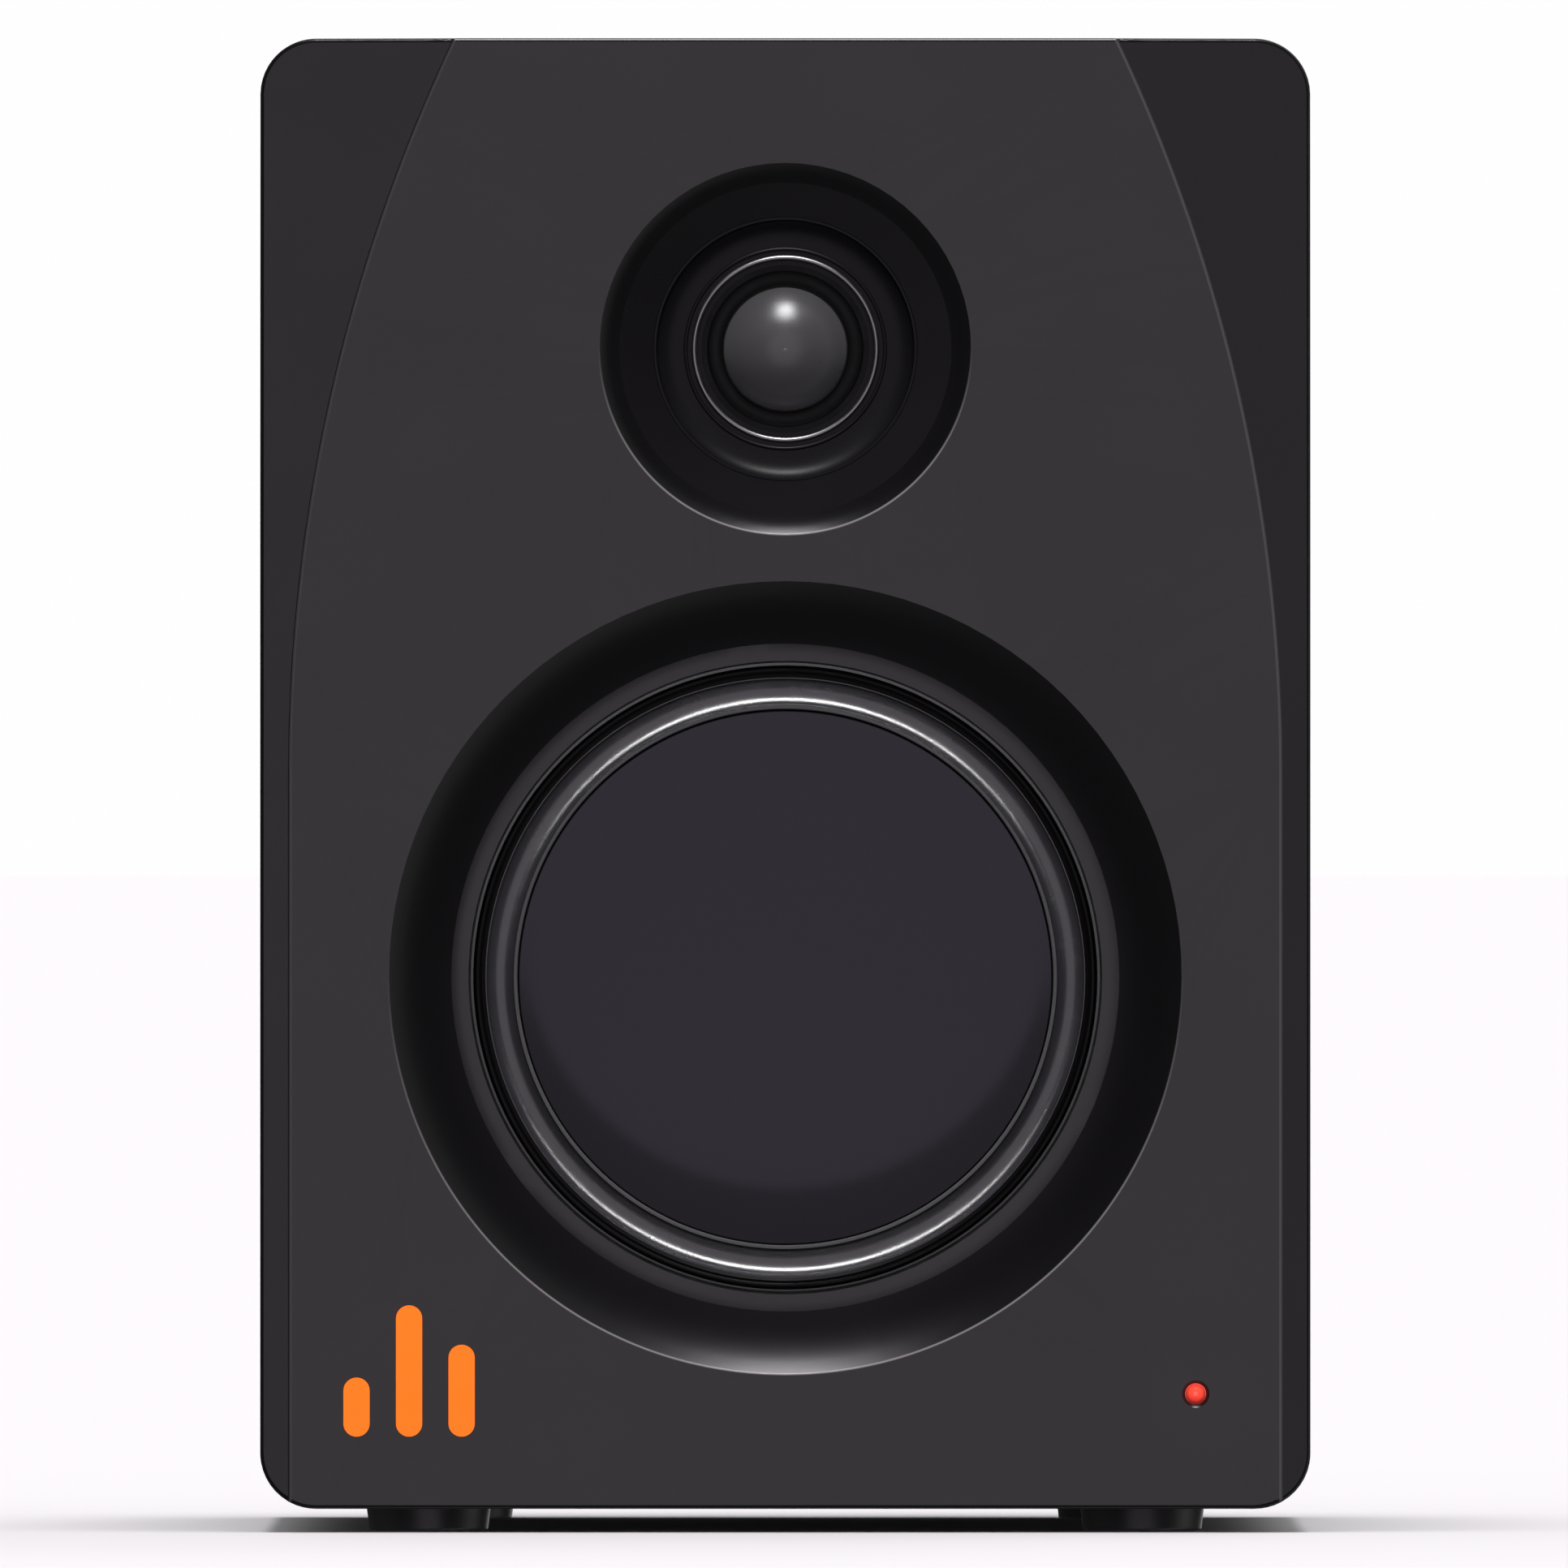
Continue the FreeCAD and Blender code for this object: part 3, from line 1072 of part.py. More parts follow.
def input_sockets():
    end_y = PLATE_Y + RCA_REACH
    core_radius = RCA_RADIUS - RCA_WALL
    shell = tube(core_radius, RCA_RADIUS, PLATE_Y, end_y, RCA_X, CONTROL_Z)
    flange = tube(core_radius, RCA_FLANGE_RADIUS, PLATE_Y, PLATE_Y + 1.0, RCA_X, CONTROL_Z)
    save("rca_shell", shell.fuse(flange).removeSplitter())
    body = box(RCA_X - 5, RCA_X + 5, PLATE_IN_Y - RCA_BODY_DEPTH, PLATE_IN_Y, INPUT_BOARD_Z, CONTROL_Z + 5)
    core = tube(RCA_PIN_BORE, core_radius, PLATE_IN_Y, end_y - 0.4, RCA_X, CONTROL_Z)
    save("rca_insulator", body.fuse(core).removeSplitter())
    body = box(JACK_X - 8, JACK_X + 8, PLATE_IN_Y - JACK_BODY_LENGTH, PLATE_IN_Y,
               INPUT_BOARD_Z, CONTROL_Z + 8)
    bushing = rod(JACK_BUSHING_RADIUS, PLATE_IN_Y - 1, PLATE_Y + 3.4, JACK_X, CONTROL_Z)
    bore = rod(JACK_BORE, PLATE_IN_Y - JACK_BODY_LENGTH + 3, PLATE_Y + 5, JACK_X, CONTROL_Z)
    save("jack_socket", body.fuse(bushing).cut(bore).removeSplitter())


# ---------------------------------------------------------------- mains pieces
def rocker_point(height, depth):
    return Vector(0, ROCKER_PIVOT_Y + depth, SWITCH_Z + height)


def power_switch():
    flange = slab(SWITCH_WIDTH, SWITCH_HEIGHT, 1.2, PLATE_Y, PLATE_Y + SWITCH_FLANGE, SWITCH_X, SWITCH_Z)
    body = slab(SWITCH_BODY_WIDTH, SWITCH_BODY_HEIGHT, 0.8, PLATE_Y - SWITCH_DEPTH, PLATE_Y + 0.5,
                SWITCH_X, SWITCH_Z)
    half = ROCKER_WIDTH / 2 + 0.3
    room = ROCKER_RADIUS + 0.3
    across = Vector(1, 0, 0)
    well = Part.makeCylinder(room, 2 * half, Vector(SWITCH_X - half, ROCKER_PIVOT_Y, SWITCH_Z), across)
    mouth = box(SWITCH_X - half, SWITCH_X + half, ROCKER_PIVOT_Y, PLATE_Y + SWITCH_FLANGE + 1,
                SWITCH_Z - room, SWITCH_Z + room)
    pin_reach = half + 0.45
    pin_hole = Part.makeCylinder(ROCKER_PIN_RADIUS + 0.05, 2 * pin_reach,
                                 Vector(SWITCH_X - pin_reach, ROCKER_PIVOT_Y, SWITCH_Z), across)
    back_y = PLATE_Y - SWITCH_DEPTH
    half_tab = TAB_THICKNESS / 2
    blades = [box(SWITCH_X - 3.15, SWITCH_X + 3.15, back_y - TAB_LENGTH, back_y + 1,
                  z - half_tab, z + half_tab)
              for z in (SWITCH_Z - 5, SWITCH_Z + 5)]
    housing = flange.fuse(body).cut([well, mouth, pin_hole]).fuse(blades).removeSplitter()
    save("switch_housing", housing)

    corner = math.radians(ROCKER_CORNER)
    high = (ROCKER_RADIUS * math.cos(corner), ROCKER_RADIUS * math.sin(corner))
    low = (ROCKER_RADIUS * math.cos(-0.3), ROCKER_RADIUS * math.sin(-0.3))
    rim = [
        Part.LineSegment(rocker_point(-high[0], high[1]), rocker_point(0, high[1] - 1.3)),
        Part.LineSegment(rocker_point(0, high[1] - 1.3), rocker_point(*high)),
        Part.Arc(rocker_point(*high), rocker_point(ROCKER_RADIUS, 0), rocker_point(*low)),
        Part.LineSegment(rocker_point(*low), rocker_point(-low[0], low[1])),
        Part.Arc(rocker_point(-low[0], low[1]), rocker_point(-ROCKER_RADIUS, 0),
                 rocker_point(-high[0], high[1])),
    ]
    face = Part.Face(Part.Wire([c.toShape() for c in rim]))
    rocker = face.extrude(Vector(ROCKER_WIDTH, 0, 0))
    rocker.translate(Vector(SWITCH_X - ROCKER_WIDTH / 2, 0, 0))
    pin_half = ROCKER_WIDTH / 2 + 0.6
    pin_end = Vector(SWITCH_X - pin_half, ROCKER_PIVOT_Y, SWITCH_Z)
    pin = Part.makeCylinder(ROCKER_PIN_RADIUS, 2 * pin_half, pin_end, across)
    rocker = rocker.fuse(pin).removeSplitter()
    rocker.rotate(Vector(SWITCH_X, ROCKER_PIVOT_Y, SWITCH_Z), across, ROCKER_TILT)
    save("switch_rocker", rocker)


def mains_inlet():
    outer_y = PLATE_Y + INLET_FLANGE
    back_y = PLATE_Y - INLET_DEPTH
    flange = slab(INLET_BODY_WIDTH + 2 * INLET_BORDER, INLET_BODY_HEIGHT + 2 * INLET_BORDER, 2.5,
                  PLATE_Y, outer_y, INLET_X, INLET_Z)
    body = slab(INLET_BODY_WIDTH, INLET_BODY_HEIGHT, 1.2, back_y, PLATE_Y + 0.5, INLET_X, INLET_Z)
    socket_z = INLET_Z + SOCKET_RISE
    floor_y = outer_y - SOCKET_DEPTH
    socket = box(INLET_X - SOCKET_WIDTH / 2, INLET_X + SOCKET_WIDTH / 2, floor_y, outer_y + 1,
                 socket_z - SOCKET_HEIGHT / 2, socket_z + SOCKET_HEIGHT / 2)
    upper = [e for e in socket.Edges
             if e.BoundBox.ZMin > socket_z + SOCKET_HEIGHT / 2 - 0.1 and e.BoundBox.YLength > SOCKET_DEPTH]
    socket = socket.makeChamfer(4.0, upper)
    drawer_z = INLET_Z - DRAWER_DROP
    bay = drawer_block(DRAWER_FIT, outer_y + 1)
    save("mains_inlet", flange.fuse(body).cut([socket, bay]).removeSplitter())

    pins = []
    half_tab = TAB_THICKNESS / 2
    for across, up in PIN_PLACES:
        x = INLET_X + across
        z = socket_z + up
        blade = box(x - 1, x + 1, floor_y, outer_y - 3, z - 2, z + 2)
        tips = [e for e in blade.Edges if e.BoundBox.YMin > outer_y - 3.1]
        pins.append(blade.makeChamfer(0.6, tips))
        pins.append(box(x - half_tab, x + half_tab, back_y - TAB_LENGTH, back_y, z - 3, z + 3))
    save("inlet_pins", *pins)

    drawer = drawer_block(0, outer_y + DRAWER_REACH)
    fuse_y = outer_y - 14.0
    bed = box(INLET_X - FUSE_LENGTH / 2 - 0.2, INLET_X + FUSE_LENGTH / 2 + 0.2, fuse_y - FUSE_RADIUS,
              fuse_y + FUSE_RADIUS, drawer_z - FUSE_RADIUS, drawer_z + DRAWER_HEIGHT)
    grip = box(INLET_X - 5, INLET_X + 5, outer_y - 1.2, outer_y + 2, drawer_z - DRAWER_HEIGHT,
               drawer_z - DRAWER_HEIGHT / 2 + 1.6)
    save("fuse_drawer", drawer.cut([bed, grip]))
    fuse_end = Vector(INLET_X - FUSE_LENGTH / 2, fuse_y, drawer_z)
    save("fuse", Part.makeCylinder(FUSE_RADIUS, FUSE_LENGTH, fuse_end, Vector(1, 0, 0)))


def drawer_block(growth, end_y):
    z = INLET_Z - DRAWER_DROP
    half_x = DRAWER_WIDTH / 2 + growth
    half_z = DRAWER_HEIGHT / 2 + growth
    start_y = PLATE_Y + INLET_FLANGE - DRAWER_DEPTH - 2 * growth
    return box(INLET_X - half_x, INLET_X + half_x, start_y, end_y, z - half_z, z + half_z)


# ---------------------------------------------------------------- electronics inside
def circuit_boards():
    main = box(-MAIN_BOARD_X, MAIN_BOARD_X, MAIN_BOARD_Y, MAIN_BOARD_Y + CIRCUIT_BOARD,
               MAIN_BOARD_LOW_Z, MAIN_BOARD_HIGH_Z)
    upper = box(JACK_X - 10, KNOB_X + 10, PLATE_IN_Y - 26, PLATE_IN_Y - 1.5,
                INPUT_BOARD_Z - CIRCUIT_BOARD, INPUT_BOARD_Z)
    save("circuit_boards", main, upper)
    posts = [rod(STANDOFF_RADIUS, MAIN_BOARD_Y + CIRCUIT_BOARD, PLATE_IN_Y, x, z)
             for x in (-MAIN_BOARD_X + 4, MAIN_BOARD_X - 4) for z in MAIN_BOARD_ROWS]
    save("board_standoffs", *posts)


def board_parts():
    rear_y = MAIN_BOARD_Y + CIRCUIT_BOARD
    front_y = MAIN_BOARD_Y
    parts = [rod(CAPACITOR_RADIUS, front_y - CAPACITOR_LENGTH, front_y, x, 82.0) for x in (-24.0, 26.0)]
    parts += [rod(7.0, front_y - 9.0, front_y, x, 95.0) for x in (-41.0, 43.0)]
    parts += [box(x - 5.5, x + 5.5, CONNECTOR_Y, front_y, z - 4, z + 4) for x, z in CONNECTORS]
    for x in (-CHIP_X, CHIP_X):
        parts.append(box(x - 10, x + 10, PLATE_IN_Y - 4.5, PLATE_IN_Y, 76, 92))
        parts.append(box(x - 9, x + 9, rear_y, PLATE_IN_Y - 2, 74.8, 76))
    parts.append(box(-10, 10, front_y, rear_y, MAIN_BOARD_HIGH_Z, INPUT_BOARD_Z - CIRCUIT_BOARD))
    save("board_parts", *parts)


def transformer():
    up = Vector(0, 0, 1)
    low_z = INNER_LOW_Z
    foot = Vector(0, TOROID_Y, low_z)
    core = Part.makeCylinder(TOROID_RADIUS, TOROID_HEIGHT, foot, up)
    core = core.makeFillet(6.0, [e for e in core.Edges if e.BoundBox.ZLength < 0.1])
    bore = Part.makeCylinder(TOROID_BORE, TOROID_HEIGHT + 2, foot - up, up)
    save("transformer", core.cut(bore))
    top_z = low_z + TOROID_HEIGHT
    washer = Part.makeCylinder(CLAMP_RADIUS, 1.4, Vector(0, TOROID_Y, top_z), up)
    bolt = Part.makeCylinder(3.0, TOROID_HEIGHT + PANEL - 3, Vector(0, TOROID_Y, low_z - PANEL + 3.8), up)
    head = Part.makeCylinder(5.0, 4.0, Vector(0, TOROID_Y, top_z + 1.4), up)
    save("transformer_clamp", washer.fuse([bolt, head]).removeSplitter())


def internal_leads():
    """Every pair of wires inside, each along its own route."""
    post_z = TERMINAL_RADIUS + WOOFER_Z + 0.4
    tab_z = TWEETER_Z - 6.0
    tab_y = BOARD_Y + CHAMBER_DEPTH + 6
    inlet_y = PLATE_Y - INLET_DEPTH - TAB_LENGTH
    switch_y = PLATE_Y - SWITCH_DEPTH - TAB_LENGTH
    socket_z = INLET_Z + SOCKET_RISE - 2
    coil_z = INNER_LOW_Z + TOROID_HEIGHT
    lamp_y = FRONT_Y + FASCIA_SKIN + LAMP_FLANGE
    (speaker, tweeter, power, lamp) = CONNECTORS
    routes = []
    for side in (-1, 1):
        x = side * LEAD_X
        routes.append([
            (x, BOARD_Y + TERMINAL_REACH, post_z),
            (x, 0, post_z),
            (x + speaker[0], 25, speaker[1]),
            (x + speaker[0], CONNECTOR_Y, speaker[1]),
        ])
        routes.append([
            (x, tab_y, tab_z),
            (x, -20, tab_z),
            (x + tweeter[0], 16, tweeter[1]),
            (x + tweeter[0], CONNECTOR_Y, tweeter[1]),
        ])
        routes.append([
            (x + power[0], 8, coil_z),
            (x + power[0], 8, power[1]),
            (x + power[0], CONNECTOR_Y, power[1]),
        ])
    routes.append([
        (INLET_X - 7, inlet_y, socket_z),
        (INLET_X - 7, 30, socket_z),
        (SWITCH_X, 28, SWITCH_Z - 5),
        (SWITCH_X, switch_y, SWITCH_Z - 5),
    ])
    routes.append([
        (INLET_X + 7, inlet_y, socket_z),
        (INLET_X + 7, 34, socket_z),
        (INLET_X - 2, 22, 58),
        (INLET_X - 5, 20, coil_z),
    ])
    routes.append([
        (SWITCH_X, switch_y, SWITCH_Z + 5),
        (SWITCH_X, 44, SWITCH_Z + 5),
        (27, 30, 58),
        (24, 27, coil_z),
    ])
    leads = [lead(route) for route in routes]
    for side in (-1, 1):
        route = [
            (LAMP_X + side, lamp_y, LAMP_Z),
            (LAMP_X + side, -30, LAMP_Z),
            (46 + 2 * side, 20, 60),
            (lamp[0] + 2 * side, CONNECTOR_Y, lamp[1]),
        ]
        leads.append(lead(route, LAMP_LEAD_RADIUS))
    save("internal_leads", *leads)


def lamp_holder():
    save("lamp_holder", tube(2.0, 5.0, FRONT_Y + FASCIA_SKIN, BOARD_Y, LAMP_X, LAMP_Z))


def damping_pads():
    side = box(INNER_X - PAD_THICKNESS, INNER_X, -PAD_HALF_DEPTH, PAD_HALF_DEPTH, *PAD_SIDE_ENDS)
    top = box(-PAD_HALF_WIDTH, PAD_HALF_WIDTH, -PAD_HALF_DEPTH, PAD_HALF_DEPTH,
              INNER_HIGH_Z - PAD_THICKNESS, INNER_HIGH_Z)
    save("damping_pads", side, mirrored(side), top)


os.makedirs("parts", exist_ok=True)
cabinet_panels()
front_board()
back_panel()
feet()
front_fascia()
power_lamp()
lamp_holder()
woofer_basket()
woofer_trim_ring()
woofer_surround()
woofer_moving_parts()
woofer_spider()
woofer_motor()
woofer_terminals()
woofer_screws()
tweeter_faceplate()
tweeter_diaphragm()
tweeter_motor()
port_tube()
amplifier_plate()
heat_sink()
volume_control()
trim_switch()
input_sockets()
power_switch()
mains_inlet()
circuit_boards()
board_parts()
transformer()
internal_leads()
damping_pads()
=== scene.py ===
import math

import bmesh
import bpy
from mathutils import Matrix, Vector, noise


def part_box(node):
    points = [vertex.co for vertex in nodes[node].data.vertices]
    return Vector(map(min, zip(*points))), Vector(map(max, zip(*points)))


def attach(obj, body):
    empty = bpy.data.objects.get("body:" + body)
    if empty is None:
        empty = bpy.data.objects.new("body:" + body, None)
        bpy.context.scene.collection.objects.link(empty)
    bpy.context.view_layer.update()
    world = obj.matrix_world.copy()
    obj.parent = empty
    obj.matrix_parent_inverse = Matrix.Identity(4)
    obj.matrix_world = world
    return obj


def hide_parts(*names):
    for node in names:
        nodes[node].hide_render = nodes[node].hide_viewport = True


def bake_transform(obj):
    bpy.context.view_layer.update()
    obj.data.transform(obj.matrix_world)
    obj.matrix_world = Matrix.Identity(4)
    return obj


# A small powered two-way bookshelf speaker, dressed around its CAD frame.
# Metres, +Z up, the front faces -Y.

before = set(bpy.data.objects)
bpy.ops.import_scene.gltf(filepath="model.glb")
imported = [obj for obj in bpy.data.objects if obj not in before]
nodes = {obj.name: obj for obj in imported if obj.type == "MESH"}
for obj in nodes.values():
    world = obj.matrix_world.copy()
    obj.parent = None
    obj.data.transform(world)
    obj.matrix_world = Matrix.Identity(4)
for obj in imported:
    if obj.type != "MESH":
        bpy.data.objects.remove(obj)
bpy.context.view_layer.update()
MM = 0.001


def centre(node):
    """The middle of a CAD node's bounds."""
    low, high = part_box(node)
    return (low + high) / 2


FRONT_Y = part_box("front_fascia")[0].y
WOOFER = centre("woofer_dust_cap")
TWEETER = centre("tweeter_dome")
KNOB = centre("volume_knob")

# The line where the fascia's face turns into a side facet is upright below, then an arc that
# leans inwards.
FACET_ARC_Z = 115.9 * MM        # where the arc starts
FACET_ARC_RADIUS = 260.2 * MM
FACET_HALF_WIDTH = 75.3 * MM    # from the middle to the upright part
BOWL_RADIUS = 60.4 * MM         # of the woofer's bowl in the fascia
HORN_RADIUS = 28.3 * MM         # of the tweeter's

# ---------------------------------------------------------------- material helpers
COORDINATES = "Object"          # every object sits at the origin, so these are metres in the frame


class Graph:
    """The node tree of a material or of the world, with short ways to add to it."""

    def __init__(self, tree):
        self.tree = tree

    def node(self, kind, **settings):
        made = self.tree.nodes.new(kind)
        for name, value in settings.items():
            setattr(made, name, value)
        return made

    def link(self, source, target):
        self.tree.links.new(source, target)

    def feed(self, sockets, values):
        """Links each output among the values to its socket, and sets the other sockets."""
        for socket, value in zip(sockets, values):
            if isinstance(value, bpy.types.NodeSocket):
                self.link(value, socket)
            else:
                socket.default_value = value

    def math(self, operation, a, b=0.0):
        made = self.node("ShaderNodeMath", operation=operation)
        self.feed(made.inputs, (a, b))
        return made.outputs[0]

    def ramp(self, value, low, high, out_low=0.0, out_high=1.0):
        """A smooth step from out_low, where the value is low, to out_high, where it is high."""
        made = self.node("ShaderNodeMapRange", interpolation_type="SMOOTHSTEP")
        sockets = ("Value", "From Min", "From Max", "To Min", "To Max")
        self.feed([made.inputs[name] for name in sockets], (value, low, high, out_low, out_high))
        return made.outputs["Result"]


class Finish(Graph):
    """A procedural material being put together around one Principled shader."""

    def __init__(self, name, colour, roughness, **constants):
        self.material = bpy.data.materials.new(name)
        self.material.use_nodes = True
        super().__init__(self.material.node_tree)
        self.shader = self.tree.nodes["Principled BSDF"]
        self.colour = (*colour, 1.0)
        self.place = self.node("ShaderNodeTexCoord").outputs[COORDINATES]
        self.height = None
        self.set("Base Color", self.colour)
        self.set("Roughness", roughness)
        self.roughness = roughness
        for socket, value in constants.items():
            self.set(socket.replace("_", " "), value)

    def set(self, socket, value):
        """A value that is the same all over the surface."""
        self.shader.inputs[socket].default_value = value

    def stretched(self, stretch):
        """The place on the object, with each axis scaled."""
        mapping = self.node("ShaderNodeMapping")
        mapping.inputs["Scale"].default_value = stretch
        self.link(self.place, mapping.inputs["Vector"])
        return mapping.outputs[0]

    def noise(self, size, detail=2.0, stretch=(1, 1, 1), distortion=0.0):
        """Cloudy noise from 0 to 1, with features of that size in metres."""
        made = self.node("ShaderNodeTexNoise")
        made.inputs["Scale"].default_value = 1.0 / size
        made.inputs["Detail"].default_value = detail
        made.inputs["Distortion"].default_value = distortion
        self.link(self.stretched(stretch), made.inputs["Vector"])
        return made.outputs["Fac"]

    def cells(self, size, feature="F1", stretch=(1, 1, 1)):
        """Distance to the nearest of random points that are about size metres apart."""
        made = self.node("ShaderNodeTexVoronoi", feature=feature)
        made.inputs["Scale"].default_value = 1.0 / size
        self.link(self.stretched(stretch), made.inputs["Vector"])
        return made.outputs["Distance"]

    def waves(self, size, direction="X", distortion=0.0):
        """Even bands that repeat every size metres."""
        made = self.node("ShaderNodeTexWave", wave_type="BANDS", bands_direction=direction)
        made.inputs["Scale"].default_value = math.pi / (10 * size)
        made.inputs["Distortion"].default_value = distortion
        self.link(self.place, made.inputs["Vector"])
        return made.outputs["Fac"]

    def axis(self, name):
        """One coordinate of the place on the object: X, Y or Z."""
        split = self.node("ShaderNodeSeparateXYZ")
        self.link(self.place, split.inputs[0])
        return split.outputs[name]

    def distance(self, x, z):
        """How far a point is from the line along Y through x and z."""
        squares = [self.math("POWER", self.math("SUBTRACT", self.axis(name), middle), 2.0)
                   for name, middle in (("X", x), ("Z", z))]
        return self.math("SQRT", self.math("ADD", *squares))

    def line(self, value, middle, half, soft):
        """1 where the value is within half of the middle, fading out over soft."""
        off = self.math("ABSOLUTE", self.math("SUBTRACT", value, middle))
        return self.ramp(off, half, half + soft, 1.0, 0.0)

    def tint(self, mask, colour):
        """Mixes the colour so far towards another where the mask is 1."""
        socket = self.shader.inputs["Base Color"]
        so_far = socket.links[0].from_socket if socket.is_linked else self.colour
        self.link(self.mixed(mask, so_far, (*colour, 1.0)), socket)

    def mixed(self, mask, first, second):
        """The first colour where the mask is 0, and the second where it is 1."""
        made = self.node("ShaderNodeMix", data_type="RGBA")
        colour_sockets = made.inputs[6:8]
        self.feed([made.inputs[0], *colour_sockets], (mask, first, second))
        return made.outputs[2]

    def dull(self, mask, roughness):
        """At least that rough where the mask is 1. It comes after polish."""
        socket = self.shader.inputs["Roughness"]
        least = self.math("MULTIPLY", mask, roughness)
        self.link(self.math("MAXIMUM", socket.links[0].from_socket, least), socket)

    def mottle(self, size, amount):
        """Slightly lighter and darker clouds in the colour."""
        self.tint(self.noise(size, 3.0), [c * (1 - amount) for c in self.colour[:3]])

    def polish(self, mask, spread):
        """Roughness that varies by plus or minus spread with the mask."""
        low, high = self.roughness - spread, self.roughness + spread
        self.link(self.ramp(mask, 0.25, 0.75, low, high), self.shader.inputs["Roughness"])

    def relief(self, height, depth):
        """Adds a height map that is depth metres deep."""
        bump = self.node("ShaderNodeBump")
        bump.inputs["Strength"].default_value = 1.0
        bump.inputs["Distance"].default_value = depth
        self.link(height, bump.inputs["Height"])
        if self.height is not None:
            self.link(self.height, bump.inputs["Normal"])
        self.height = bump.outputs[0]
        self.link(self.height, self.shader.inputs["Normal"])


def dress(finish, *names):
    """Gives CAD nodes a finish."""
    for name in names:
        mesh = nodes[name].data
        mesh.materials.clear()
        mesh.materials.append(finish.material)


# ---------------------------------------------------------------- finishes
SILK_THREAD = 0.16 * MM         # pitch of the tweeter's weave


def moulded(name, colour, roughness, grain=0.25 * MM, depth=0.006 * MM, **constants):
    """Moulded plastic: a fine spark texture, clouds in the gloss and a little uneven colour."""
    made = Finish(name, colour, roughness, **constants)
    made.mottle(30 * MM, 0.10)
    made.polish(made.noise(18 * MM, 4.0), 0.03)
    made.relief(made.noise(grain, 3.0), depth)
    return made


def powder_coat(name, colour, roughness):
    """Baked paint with an orange-peel skin and fine specks."""
    made = Finish(name, colour, roughness)
    made.tint(made.ramp(made.cells(0.5 * MM), 0.0, 0.12, 0.35, 0.0), [c * 2.5 for c in colour])
    made.polish(made.noise(6 * MM, 3.0), 0.06)
    made.relief(made.cells(0.9 * MM, "SMOOTH_F1"), 0.035 * MM)
    made.relief(made.noise(0.3 * MM), 0.01 * MM)
    return made


def metal(name, colour, roughness, stretch=(1, 1, 1), grain=0.4 * MM, **constants):
    """Bare or plated metal with fine drawn lines and dull patches."""
    made = Finish(name, colour, roughness, Metallic=1.0, **constants)
    made.mottle(5 * MM, 0.15)
    made.polish(made.noise(3 * MM, 4.0), 0.05)
    made.relief(made.noise(grain, 4.0, stretch), 0.002 * MM)
    return made


def rubber(name, colour, roughness, depth=0.004 * MM, **constants):
    """Rubber or soft plastic, with a dusty bloom."""
    made = Finish(name, colour, roughness, **constants)
    made.mottle(9 * MM, 0.2)
    made.polish(made.noise(5 * MM, 4.0), 0.04)
    made.relief(made.noise(0.5 * MM, 4.0), depth)
    return made


def woven(name, colour, roughness, thread, **constants):
    """Cloth: two crossing sets of threads."""
    made = Finish(name, colour, roughness, **constants)
    weave = made.math("MULTIPLY", made.waves(thread, "X"), made.waves(thread, "Z"))
    made.tint(weave, [c * 0.7 for c in colour])
    made.relief(weave, thread * 0.12)
    made.polish(made.noise(4 * MM, 3.0), 0.06)
    return made


def fascia_finish():
    """Satin black moulding, with a painted highlight line where its face turns into the two side
    facets, and painted highlights on the lower rims of the woofer's bowl and the tweeter's horn.
    """
    made = Finish("fascia_plastic", (0.0034, 0.0027, 0.0036), 0.285)
    made.mottle(40 * MM, 0.06)
    above = made.math("MAXIMUM", made.math("SUBTRACT", made.axis("Z"), FACET_ARC_Z), 0.0)
    aside = made.math("ADD", made.math("ABSOLUTE", made.axis("X")), FACET_ARC_RADIUS - FACET_HALF_WIDTH)
    squares = [made.math("POWER", side, 2.0) for side in (above, aside)]
    reach = made.math("SQRT", made.math("ADD", *squares))
    front = made.ramp(made.axis("Y"), FRONT_Y + 0.4 * MM, FRONT_Y + 0.8 * MM, 1.0, 0.0)
    # Painted highlight: a thin pale line on the face along the arc where it turns into each side facet.
    edge = made.line(reach, FACET_ARC_RADIUS + 0.1 * MM, 0.10 * MM, 0.15 * MM)
    made.tint(made.math("MULTIPLY", edge, front), (0.040, 0.038, 0.042))
    # Painted highlight on the rim of each bowl: pale at the bottom and fading out towards the sides,
    # where light from above would catch the edge.
    for middle, radius in ((WOOFER, BOWL_RADIUS), (TWEETER, HORN_RADIUS)):
        rim = made.line(made.distance(middle.x, middle.z), radius, 0.06 * MM, 0.16 * MM)
        lower = made.ramp(made.axis("Z"), middle.z - radius, middle.z + 0.15 * radius, 1.0, 0.0)
        painted_rim_highlight = made.math("MULTIPLY", made.math("MULTIPLY", rim, lower), front)
        made.tint(painted_rim_highlight, (0.20, 0.19, 0.20))
    made.polish(made.noise(25 * MM, 5.0), 0.012)
    made.relief(made.noise(0.22 * MM, 3.0), 0.0022 * MM)
    made.relief(made.cells(0.6 * MM), 0.0015 * MM)
    return made


def vinyl_finish():
    """Black leathery vinyl, with the butt seam of the wrap along the underside."""
    made = Finish("vinyl_grain", (0.0085, 0.0078, 0.009), 0.48, Specular_IOR_Level=0.35)
    made.mottle(3 * MM, 0.12)
    pores = made.cells(1.1 * MM, "SMOOTH_F1", (1, 0.7, 1))
    made.polish(made.noise(2.5 * MM, 4.0), 0.03)
    made.relief(pores, 0.11 * MM)
    made.relief(made.noise(0.35 * MM, 3.0), 0.02 * MM)
    seam = made.line(made.axis("X"), 0.0, 0.15 * MM, 0.30 * MM)
    below = made.ramp(made.axis("Z"), 6 * MM, 7 * MM, 1.0, 0.0)
    made.relief(made.math("MULTIPLY", seam, below), -0.25 * MM)
    return made


